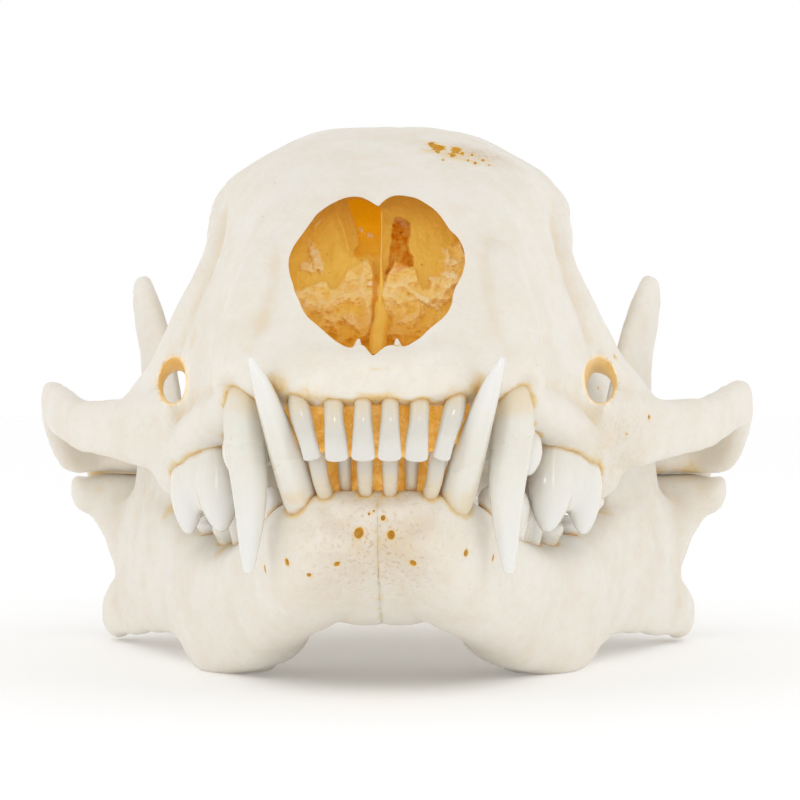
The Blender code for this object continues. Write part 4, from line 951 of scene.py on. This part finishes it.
def cranium_bone():
    """The cranium as one bone, the tree of its canals, and its stains: trees, how far and how strong."""
    body = section_loft("cranium_body", CRANIUM_SECTIONS, ring=128, steps=170)
    paired = [
        sweep("zygomatic_arch", ZYGOMATIC_ARCH, (0, 0, 1), steps=60, squareness=ARCH_SQUARENESS),
        sweep("orbital_rim", ORBITAL_RIM, (1, 0, 0)),
        sweep("canine_jugum", CANINE_JUGUM, (1, 0, 0)),
        sweep("incisor_roots", INCISOR_ROOTS, (0, 1, 0)),
        sweep("alveolar_ridge", ALVEOLAR_RIDGE, (0, 0, 1)),
        sweep("lambdoid_crest", LAMBDOID_CREST, (1, 0, 0)),
        sweep("pterygoid_plate", PTERYGOID_PLATE, (0, 0, 1)),
        lump("postorbital_process", *POSTORBITAL_PROCESS),
        lump("glenoid_root", *GLENOID_ROOT),
        lump("postglenoid_process", *POSTGLENOID_PROCESS),
        sweep("glenoid_lip", GLENOID_LIP, (0, 0, 1)),
        sweep("mastoid_process", MASTOID_PROCESS, (0, 1, 0)),
        sweep("paroccipital_process", PAROCCIPITAL_PROCESS, (0, 1, 0)),
        lump("auditory_bulla", *AUDITORY_BULLA),
        lump("ear_opening_rim", *EAR_OPENING_RIM),
        lump("occipital_condyle", *OCCIPITAL_CONDYLE, turn_z=OCCIPITAL_CONDYLE_TURN),
    ]
    middle = sweep("sagittal_crest", SAGITTAL_CREST, (0, 0, 1))
    cranium = joined("cranium_bone", [body, middle, *on_both_sides(paired)])
    remesh(cranium, BONE_VOXEL, 3)
    canals = on_both_sides([sweep("infraorbital_canal", INFRAORBITAL_CANAL, (1, 0, 0))])
    stained = [(tree_of(canal), *stain) for canal, stain in zip(canals, CANAL_STAINS)]
    orbits = on_both_sides([lump("orbit", *ORBIT, 64, 47)])
    foramen_magnum = lump("foramen_magnum", *FORAMEN_MAGNUM, 64, 47)
    choana = lump("choana", *CHOANA, 64, 47)
    canal_walls = tree_of_all(canals)
    carve(cranium, [*orbits, *canals, foramen_magnum, choana])
    remesh(cranium, BONE_VOXEL, 4)
    swell(cranium, CRANIUM_SWELLS)
    reduce_to(cranium, CRANIUM_TRIANGLES)
    radius = CONDYLE_RADIUS + CONDYLE_CLEARANCE
    seat = [(x, HINGE_Y, HINGE_Z, radius, radius) for x in GLENOID_SEAT_X]
    seats = on_both_sides([sweep("glenoid_fossa", seat, (0, 0, 1), ring=64, steps=6)])
    stained += [(tree_of(socket), *SEAT_STAIN) for socket in seats]
    carve(cranium, seats)
    return cranium, canal_walls, stained


def jaw_bone():
    """The left half of the lower jaw, with its chin, ramus, coronoid, condyle and angular process."""
    leans = [(lean, 0, 1) for lean in JAW_LEANS]
    parts = [
        sweep("jaw_body", JAW_BODY, leans, 48, 90, JAW_SQUARENESS),
        sweep("chin", CHIN, (0, 0, 1)),
        sweep("coronoid", CORONOID, CORONOID_FACING, ring=40),
        sweep("condyle", CONDYLE, (0, 0, 1)),
        sweep("condyle_neck", CONDYLE_NECK, (1, 0, 0)),
        sweep("angular_process", ANGULAR_PROCESS, (0, 0, 1)),
    ]
    jaw = joined("left_mandible_bone", parts)
    remesh(jaw, BONE_VOXEL, 3)
    carve(jaw, [lump("masseteric_fossa", *MASSETERIC_FOSSA, 48, 31, turn_z=MASSETERIC_FOSSA_TURN)])
    remesh(jaw, BONE_VOXEL, 4)
    swell(jaw, JAW_SWELLS)
    reduce_to(jaw, JAW_TRIANGLES)
    points = read_points(jaw)
    points[:, 0] = np.maximum(points[:, 0], SYMPHYSIS_GAP / 2)
    points[:, 2] = np.maximum(points[:, 2], 0.0)
    write_points(jaw, points)
    return jaw


def socket_cutter(tooth):
    """The tooth's form grown by the gap and made uneven, for the ragged edge of a dry socket."""
    cutter = copy_of(tooth, tooth.name + "_socket")
    write_points(cutter, read_points(cutter) + read_normals(cutter) * SOCKET_GAP)
    swell(cutter, SOCKET_SWELLS)
    return cutter


def dried_gum(name, rows, body, material):
    """The brown remains of the gum behind a row of front teeth."""
    strip = sweep(name, rows, (0, 0, 1), ring=40, steps=160, squareness=0.8)
    swell(strip, GUM_SWELLS)
    finish(strip, body, None, material)


def finish(shape, body, node, material, crease=38):
    """Shades a piece, with edges above the crease angle left sharp, colours it and puts it on its body."""
    only(shape)
    bpy.ops.object.shade_smooth_by_angle(angle=math.radians(crease))
    shape.data.materials.clear()
    shape.data.materials.append(material)
    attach(shape, body)
    if node:
        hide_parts(node)


def dress_tooth(tooth, node, crown, bone_tree, material, body):
    """Paints how far each point is from the gum line to the tip, and stands the tooth for its node."""
    gum, tip = crown
    points = read_points(tooth)
    paint(tooth, "crown", np.clip((points[:, 2] - gum) / (tip - gum), 0, 1))
    paint(tooth, "stain", nearness(points, bone_tree, TOOTH_STAIN_REACH) * TOOTH_STAIN)
    paint(tooth, "thin_tooth_or_canal_glow", np.full(len(points), 1.0 if "incisor" in node else 0.0))
    tooth.name = node + "_tooth"
    finish(tooth, body, node, material, 60)


class Nodes:
    """Shorthand for adding and joining the nodes of one tree."""

    def __init__(self, tree):
        self.tree = tree

    def add(self, kind, **settings):
        node = self.tree.nodes.new(kind)
        for key, value in settings.items():
            setattr(node, key, value)
        return node

    def join(self, source, target):
        self.tree.links.new(source, target)

    def noise(self, place, scale, detail=2.0, roughness=0.5):
        node = self.add("ShaderNodeTexNoise")
        node.inputs["Scale"].default_value = scale
        node.inputs["Detail"].default_value = detail
        node.inputs["Roughness"].default_value = roughness
        self.join(place, node.inputs["Vector"])
        return node.outputs["Fac"]

    def remap(self, value, low, high, to_low=0.0, to_high=1.0, smooth=True):
        node = self.add("ShaderNodeMapRange")
        node.interpolation_type = "SMOOTHSTEP" if smooth else "LINEAR"
        for name, number in (("From Min", low), ("From Max", high), ("To Min", to_low), ("To Max", to_high)):
            node.inputs[name].default_value = number
        self.join(value, node.inputs["Value"])
        return node.outputs["Result"]

    def reckon(self, operation, first, second):
        node = self.add("ShaderNodeMath", operation=operation)
        for socket, value in zip(node.inputs, (first, second)):
            if isinstance(value, (int, float)):
                socket.default_value = value
            else:
                self.join(value, socket)
        return node.outputs[0]

    def times(self, first, second):
        return self.reckon("MULTIPLY", first, second)

    def plus(self, first, second):
        return self.reckon("ADD", first, second)

    def minus(self, first, second):
        return self.reckon("SUBTRACT", first, second)

    def larger(self, first, second):
        return self.reckon("MAXIMUM", first, second)

    def blend(self, factor, first, second):
        """The first colour where the factor is 0 and the second where it is 1."""
        node = self.add("ShaderNodeMix", data_type="RGBA")
        sockets = [socket for socket in node.inputs if socket.type == "RGBA"]
        for socket, colour in zip(sockets, (first, second)):
            if isinstance(colour, tuple):
                socket.default_value = (*colour, 1)
            else:
                self.join(colour, socket)
        if isinstance(factor, (int, float)):
            node.inputs["Factor"].default_value = factor
        else:
            self.join(factor, node.inputs["Factor"])
        return next(socket for socket in node.outputs if socket.type == "RGBA")

    def layered(self, colour, *layers):
        """The colour with other colours laid over it in turn, each by its mask."""
        for mask, over in layers:
            colour = self.blend(mask, colour, over)
        return colour

    def spread(self, value, low, high):
        """A value from 0 to 1 evenly spread between two others."""
        return self.remap(value, 0.0, 1.0, low, high, smooth=False)

    def attribute(self, name):
        return self.add("ShaderNodeAttribute", attribute_name=name).outputs["Fac"]

    def bump(self, height, strength, distance_mm):
        node = self.add("ShaderNodeBump")
        node.inputs["Strength"].default_value = strength
        node.inputs["Distance"].default_value = distance_mm * MM
        self.join(height, node.inputs["Height"])
        return node.outputs["Normal"]


def weathering_group():
    """The surface of old clean bone: slow mottling, sparse brown pores and a fine grain with relief."""
    tree = bpy.data.node_groups.new("bone weathering", "ShaderNodeTree")
    for name in ("Mottle", "Pores", "Relief"):
        tree.interface.new_socket(name, in_out="OUTPUT", socket_type="NodeSocketFloat")
    tree.interface.new_socket("Place", in_out="INPUT", socket_type="NodeSocketVector")
    tree.interface.new_socket("Pitting", in_out="INPUT", socket_type="NodeSocketFloat")
    nodes = Nodes(tree)
    given = nodes.add("NodeGroupInput")
    gives = nodes.add("NodeGroupOutput")
    place = given.outputs["Place"]
    pitting = given.outputs["Pitting"]
    slow = nodes.noise(place, 260, 3)
    streaks = nodes.add("ShaderNodeMapping")
    streaks.inputs["Scale"].default_value = (1.0, 0.35, 1.0)
    nodes.join(place, streaks.inputs["Vector"])
    fibres = nodes.noise(streaks.outputs["Vector"], 1500, 4, 0.6)
    mottle = nodes.plus(nodes.times(slow, 0.62), nodes.times(fibres, 0.38))
    nodes.join(nodes.remap(mottle, 0.36, 0.66), gives.inputs["Mottle"])
    cells = nodes.add("ShaderNodeTexVoronoi")
    cells.inputs["Scale"].default_value = 900
    nodes.join(place, cells.inputs["Vector"])
    sparse = nodes.remap(nodes.noise(place, 420, 2), 0.54, 0.68)
    wanted = nodes.larger(sparse, pitting)
    dots = nodes.remap(cells.outputs["Distance"], 0.025, 0.08, 1.0, 0.0)
    pits = nodes.remap(nodes.noise(place, 4200, 3, 0.6), 0.54, 0.68)
    pores = nodes.larger(nodes.times(dots, wanted), nodes.times(pits, pitting))
    nodes.join(pores, gives.inputs["Pores"])
    grain = nodes.noise(place, 5200, 3, 0.6)
    hollows = nodes.remap(nodes.noise(place, 2600, 2), 0.56, 0.72)
    worn = nodes.times(hollows, nodes.plus(nodes.times(pitting, 2.2), 0.15))
    relief = nodes.plus(nodes.times(grain, 0.25), nodes.times(fibres, 0.35))
    relief = nodes.minus(relief, worn)
    relief = nodes.minus(relief, nodes.times(pores, 0.9))
    nodes.join(relief, gives.inputs["Relief"])
    return tree


def new_material(name):
    material = bpy.data.materials.new(name)
    material.use_nodes = True
    nodes = Nodes(material.node_tree)
    shader = material.node_tree.nodes["Principled BSDF"]
    place = nodes.add("ShaderNodeTexCoord").outputs["Object"]
    return material, nodes, shader, place


def let_light_in(shader, weight, radius, depth):
    """Light that enters the surface: how much, how far each colour goes, and over how many millimetres."""
    shader.inputs["Subsurface Weight"].default_value = weight
    shader.inputs["Subsurface Radius"].default_value = radius
    shader.inputs["Subsurface Scale"].default_value = depth * MM


def shine_through(nodes, shader, colour, share):
    """A painted glow of the surface's own colour, by its share."""
    nodes.join(nodes.blend(1 - share, colour, BLACK), shader.inputs["Emission Color"])
    shader.inputs["Emission Strength"].default_value = 1.0


def use_weathering(nodes, group, place, pitting):
    node = nodes.add("ShaderNodeGroup")
    node.node_tree = group
    nodes.join(place, node.inputs["Place"])
    if isinstance(pitting, float):
        node.inputs["Pitting"].default_value = pitting
    else:
        nodes.join(pitting, node.inputs["Pitting"])
    return node.outputs["Mottle"], node.outputs["Pores"], node.outputs["Relief"]


def bone_material(weathering):
    material, nodes, shader, place = new_material("dry bone")
    pitted = nodes.attribute("pitted")
    mottle, pores, relief = use_weathering(nodes, weathering, place, pitted)
    flecks = nodes.remap(nodes.noise(place, 3800, 4, 0.7), 0.50, 0.72)
    patchy = nodes.remap(nodes.noise(place, 1700, 3, 0.6), 0.25, 0.75, 0.55, 1.25)
    stain = nodes.times(nodes.attribute("stain"), patchy)
    cavity = nodes.attribute("cavity")
    colour = nodes.layered(
        nodes.blend(mottle, BONE_LIGHT, BONE_WARM),
        (nodes.times(flecks, 0.3), BONE_FLECK),
        (nodes.times(pitted, nodes.remap(mottle, 0.0, 1.0, 0.6, 1.0)), BONE_PITTED),
        # Painted shade: creases are darkened toward a warm brown by how deep they lie
        (nodes.times(nodes.attribute("hollow"), 0.5), BONE_CREASE_SHADE),
        (nodes.times(pores, 0.6), BONE_PORE),
        (nodes.remap(stain, 0.05, 0.55), STAIN_LIGHT),
        (nodes.remap(stain, 0.45, 1.0), STAIN_DARK),
        (cavity, nodes.blend(mottle, HOLE_LIGHT, HOLE_DARK)),
    )
    nodes.join(colour, shader.inputs["Base Color"])
    # Painted glow: the canal walls and the inside of the hollows give off light of their own
    canal_painted_glow = nodes.blend(nodes.attribute("thin_tooth_or_canal_glow"), BLACK, CANAL_GLOW)
    nodes.join(nodes.blend(cavity, canal_painted_glow, HOLE_GLOW), shader.inputs["Emission Color"])
    shader.inputs["Emission Strength"].default_value = 1.0
    nodes.join(nodes.spread(mottle, 0.44, 0.60), shader.inputs["Roughness"])
    nodes.join(nodes.bump(relief, 0.35, 0.06), shader.inputs["Normal"])
    let_light_in(shader, 0.18, (1.0, 0.62, 0.32), 0.8)
    return material


def nasal_material(weathering):
    """Thin bone with a painted glow standing for light shining through it: amber sheets, paler crumpled
    masses, a rust-brown recess.
    """
    material, nodes, shader, place = new_material("amber nasal bone")
    mottle, _, relief = use_weathering(nodes, weathering, place, 0.2)
    veins = nodes.remap(nodes.noise(place, 1900, 5, 0.7), 0.42, 0.62)
    pale_and_crest_highlight = nodes.attribute("pale_and_crest_highlight")
    paleness_and_highlight = nodes.times(pale_and_crest_highlight, nodes.plus(nodes.times(veins, 0.4), 0.65))
    speckle = nodes.remap(nodes.noise(place, 2300, 4, 0.7), 0.35, 0.65, 0.5, 1.2)
    rust = nodes.times(nodes.attribute("rust"), speckle)
    colour = nodes.layered(
        nodes.blend(mottle, AMBER_LIGHT, AMBER_DARK),
        (nodes.attribute("deep"), AMBER_DEEP),
        (nodes.remap(rust, 0.1, 0.8), RUST),
        (nodes.remap(rust, 0.8, 1.4), RUST_DARK),
        # The pale bone of the streaks and the painted highlight on the crests
        (nodes.spread(paleness_and_highlight, 0.0, 1.0), AMBER_PALE_AND_HIGHLIGHT),
        (nodes.times(nodes.attribute("low"), 0.75), AMBER_LOW),
    )
    nodes.join(colour, shader.inputs["Base Color"])
    # Painted glow: a quarter of the colour is given off as light
    shine_through(nodes, shader, colour, 0.25)
    nodes.join(nodes.spread(mottle, 0.4, 0.6), shader.inputs["Roughness"])
    height = nodes.plus(relief, nodes.times(paleness_and_highlight, 0.6))
    nodes.join(nodes.bump(height, 0.35, 0.07), shader.inputs["Normal"])
    shader.inputs["Specular IOR Level"].default_value = 0.2
    let_light_in(shader, 0.2, (1.0, 0.5, 0.15), 0.5)
    return material


def gum_material(weathering):
    material, nodes, shader, place = new_material("dried gum")
    mottle, pores, relief = use_weathering(nodes, weathering, place, 0.3)
    clumps = nodes.remap(nodes.noise(place, 1500, 4, 0.6), 0.38, 0.62)
    colour = nodes.layered(nodes.blend(clumps, GUM_LIGHT, GUM_DARK), (pores, GUM_PORE))
    nodes.join(colour, shader.inputs["Base Color"])
    # Painted glow: the dried gum gives off a share of its own colour as light
    shine_through(nodes, shader, colour, 0.30)
    nodes.join(nodes.spread(mottle, 0.35, 0.55), shader.inputs["Roughness"])
    height = nodes.plus(relief, clumps)
    nodes.join(nodes.bump(height, 0.6, 0.12), shader.inputs["Normal"])
    let_light_in(shader, 0.3, (1.0, 0.4, 0.1), 0.4)
    return material


def enamel_material(weathering):
    material, nodes, shader, place = new_material("tooth enamel")
    mottle, _, relief = use_weathering(nodes, weathering, place, 0.0)
    level = nodes.plus(nodes.attribute("crown"), nodes.times(nodes.minus(mottle, 0.5), 0.16))
    thin_tooth_or_canal_glow = nodes.attribute("thin_tooth_or_canal_glow")
    # Painted shade: the enamel turns tan at its edges where they turn away from the camera
    edge_shade_facing = nodes.add("ShaderNodeLayerWeight")
    edge_shade_facing.inputs["Blend"].default_value = 0.4
    stain = nodes.times(nodes.attribute("stain"), nodes.remap(mottle, 0.0, 1.0, 0.6, 1.3))
    colour = nodes.layered(
        nodes.blend(mottle, ROOT_LIGHT, ROOT_DARK),
        (nodes.remap(level, -0.08, 0.08), nodes.blend(mottle, ENAMEL_LIGHT, ENAMEL_DARK)),
        (nodes.remap(level, 0.25, 1.0), ENAMEL_TIP),
        (nodes.times(thin_tooth_or_canal_glow, nodes.remap(level, 0.60, 0.85, 0.75, 0.45)), THIN_ENAMEL),
        (nodes.times(thin_tooth_or_canal_glow, nodes.remap(level, 0.22, 0.55, 0.65, 0.0)), THIN_NECK),
        # the painted edge shade
        (nodes.remap(edge_shade_facing.outputs["Facing"], 0.35, 0.95, 0.0, 0.55), ENAMEL_EDGE_SHADE),
        (nodes.remap(stain, 0.1, 1.0), ENAMEL_STAIN),
    )
    nodes.join(colour, shader.inputs["Base Color"])
    nodes.join(nodes.remap(level, 0.0, 0.4, 0.40, 0.17), shader.inputs["Roughness"])
    lengthwise = nodes.add("ShaderNodeMapping")
    lengthwise.inputs["Scale"].default_value = (1.0, 1.0, 0.12)
    nodes.join(place, lengthwise.inputs["Vector"])
    lines = nodes.noise(lengthwise.outputs["Vector"], 4200, 3, 0.6)
    height = nodes.plus(lines, nodes.times(relief, 0.3))
    nodes.join(nodes.bump(height, 0.18, 0.05), shader.inputs["Normal"])
    nodes.join(nodes.remap(level, 0.1, 0.5, 0.15, 0.7), shader.inputs["Coat Weight"])
    shader.inputs["Coat Roughness"].default_value = 0.09
    let_light_in(shader, 0.2, (1.0, 0.8, 0.55), 0.5)
    return material


def floor_material():
    material, nodes, shader, place = new_material("white sweep")
    paper = nodes.noise(place, 900, 3)
    nodes.join(nodes.blend(paper, PAPER_LIGHT, PAPER_DARK), shader.inputs["Base Color"])
    shader.inputs["Roughness"].default_value = 0.9
    shader.inputs["Specular IOR Level"].default_value = 0.1
    shader.inputs["Emission Strength"].default_value = FLOOR_GLOW
    return material


def mark_inside(shape, hollows):
    """Marks the faces that the hollows' cutters left, which look against their own."""
    inside = np.zeros(len(shape.data.polygons), np.float32)
    for i, face in enumerate(shape.data.polygons):
        normal = hollows.find_nearest(face.center, HOLLOW_REACH * MM)[1]
        inside[i] = normal is not None and normal.dot(face.normal) < -0.8
    layer = shape.data.attributes.new("cavity", "FLOAT", "FACE")
    layer.data.foreach_set("value", inside)


def seam_stain(points, x, low, high):
    """The brown of an old seam down the front of the midline, between two heights."""
    across, along, up = points.T
    wander = rough(points * (0, 0, 1), 1.6, 31.0) * SEAM_WANDER
    patchy = np.clip(0.6 + 1.2 * rough(points, 0.6, 35.0), 0.1, 1)
    front = smooth_step((SEAM_BACK - along) / 3)
    line = np.exp(-(((across - x - wander) / SEAM_HALF_WIDTH) ** 2))
    return SEAM_STRENGTH * line * patchy * inside_band(up, low, high, 0.6) * front


def paint_bone(shape, stained, hollows, teeth, marks, pitted, seam):
    """Keeps for each vertex how stained, creased and pitted it is, and marks the inside of hollows."""
    points = read_points(shape)
    stain = seam_stain(points, *seam)
    for tree, reach, most in stained:
        stain = np.maximum(stain, smooth_step(nearness(points, tree, reach)) * most)
    for tree in teeth:
        stain = np.maximum(stain, nearness(points, tree, SOCKET_STAIN_REACH) ** 1.5 * SOCKET_STAIN)
    whole = tree_of(shape)
    # Brown stains at pixels, which in the jaw include two patches of painted shade
    for pixel, radius, strength in marks:
        if is_seen(whole, pixel):
            place, _ = seen_on(whole, pixel)
            stain = np.maximum(stain, strength * np.exp(-((points - place) ** 2).sum(1) / radius**2))
    paint(shape, "stain", stain)
    # How deep each point lies in a crease, which the material turns into painted shade
    paint(shape, "hollow", hollowness(shape))
    paint(shape, "pitted", pitting(points, pitted))
    mark_inside(shape, hollows)


def pitting(points, spots):
    """How pitted the bone is at each point, from 0 to 1."""
    shares = [most * np.exp(-(((points - centre) / size) ** 2).sum(1)) for centre, size, most in spots]
    return np.clip(sum(shares), 0, 1)


def build():
    weathering = weathering_group()
    bone = bone_material(weathering)
    inner = nasal_material(weathering)
    enamel = enamel_material(weathering)
    gum = gum_material(weathering)

    teeth, crowns = left_teeth()
    both = {}
    for name, tooth in teeth.items():
        both["left_" + name] = tooth
        both["right_" + name] = other_side(tooth, "right_" + name)
    upper = {node: tooth for node, tooth in both.items() if "_upper_" in node}
    lower = {node: tooth for node, tooth in both.items() if "_lower_" in node}

    cranium, canal_walls, stained = cranium_bone()
    cavity = nasal_cavity()
    face = tree_of(cranium)
    holes = [drill(face, *hole) for hole in FACE_HOLES if is_seen(face, hole[0])]
    holes += [worn_hole(face, *hole) for hole in LESION_HOLES]
    stained += [(tree_of(hole), *HOLE_STAIN) for hole in holes]
    hollows = tree_of_all([cavity, *holes])
    carve(cranium, [cavity, *holes, *(socket_cutter(tooth) for tooth in upper.values())])
    upper_trees = [tree_of(tooth) for tooth in upper.values()]
    paint_bone(cranium, stained, hollows, upper_trees, FACE_STAINS, FACE_PITTED, FACE_SEAM)
    # Painted glow: how near each point lies to the canal walls, for the light those walls give off
    thin_tooth_or_canal_glow = nearness(read_points(cranium), canal_walls, CANAL_STAINS[0][0])
    paint(cranium, "thin_tooth_or_canal_glow", smooth_step(thin_tooth_or_canal_glow * 2))
    finish(cranium, "cranium", "cranium", bone)
    nasal_bones(inner, bone)
    dried_gum("upper_dried_gum", UPPER_GUM, "cranium", gum)
    dried_gum("lower_dried_gum", LOWER_GUM, "lower_jaw", gum)
    bone_trees = {"upper": tree_of(cranium)}

    jaw = jaw_bone()
    for side, half in (("right", other_side(jaw, "right_mandible_bone")), ("left", jaw)):
        near = {node: tooth for node, tooth in lower.items() if node.startswith(side)}
        front = tree_of(half)
        sign = -1 if side == "right" else 1
        holes = [drill(front, *hole) for hole in JAW_HOLES if is_seen(front, hole[0], sign)]
        stained = [(tree_of(hole), *HOLE_STAIN) for hole in holes]
        hollows = tree_of_all(holes)
        carve(half, [socket_cutter(tooth) for tooth in near.values()] + holes)
        near_trees = [tree_of(tooth) for tooth in near.values()]
        paint_bone(half, stained, hollows, near_trees, JAW_STAINS_AND_SHADE, CHIN_PITTED, CHIN_SEAM)
        finish(half, "lower_jaw", side + "_mandible", bone)
        bone_trees[side] = tree_of(half)

    for node, tooth in both.items():
        side, jaw_name, _ = node.split("_", 2)
        body = "cranium" if jaw_name == "upper" else "lower_jaw"
        near_bone = bone_trees["upper" if jaw_name == "upper" else side]
        dress_tooth(tooth, node, crowns[node.split("_", 1)[1]], near_bone, enamel, body)


def floor_and_light():
    bpy.ops.object.select_all(action="DESELECT")
    bpy.ops.mesh.primitive_plane_add(size=6.0, location=(0, 0, 0))
    floor = bpy.context.object
    floor.name = "studio_floor"
    floor.data.materials.append(floor_material())
    world = bpy.data.worlds.new("light tent")
    bpy.context.scene.world = world
    world.use_nodes = True
    nodes = Nodes(world.node_tree)
    direction = nodes.add("ShaderNodeTexCoord").outputs["Generated"]
    split = nodes.add("ShaderNodeSeparateXYZ")
    nodes.join(direction, split.inputs[0])
    from_above = nodes.spread(split.outputs["Z"], TENT_SIDE_LIGHT, TENT_TOP_LIGHT)
    from_front = nodes.remap(split.outputs["Y"], -1.0, 0.0, TENT_FRONT_SHARE, 1.0, smooth=False)
    light = nodes.times(from_above, from_front)
    seen = nodes.add("ShaderNodeLightPath").outputs["Is Camera Ray"]
    strength = nodes.plus(nodes.times(seen, nodes.minus(1.0, light)), light)
    nodes.join(strength, world.node_tree.nodes["Background"].inputs["Strength"])
    world.node_tree.nodes["Background"].inputs["Color"].default_value = (1, 1, 1, 1)
    bpy.context.scene.view_settings.view_transform = "Standard"


def area_light(name, place, size, power):
    """A soft box aimed at the skull."""
    bpy.ops.object.light_add(type="AREA", location=place)
    lamp = bpy.context.object
    lamp.name = name
    lamp.data.shape = "RECTANGLE"
    lamp.data.size, lamp.data.size_y = size
    lamp.data.energy = power
    aim = Vector(SOFT_BOX_AIM) - Vector(place)
    lamp.rotation_euler = aim.to_track_quat("-Z", "Y").to_euler()


def camera():
    bpy.ops.object.camera_add(location=camera_place(), rotation=(math.pi / 2, 0, CAMERA_TURN))
    seen = bpy.context.object
    seen.data.sensor_width = SENSOR_WIDTH
    seen.data.lens = SENSOR_WIDTH * FOCAL_PIXELS / PICTURE_SIZE
    seen.data.clip_start = 0.01
    seen.data.clip_end = 50
    bpy.context.scene.camera = seen


build()
floor_and_light()
camera()
for soft_box in SOFT_BOXES:
    area_light(*soft_box)
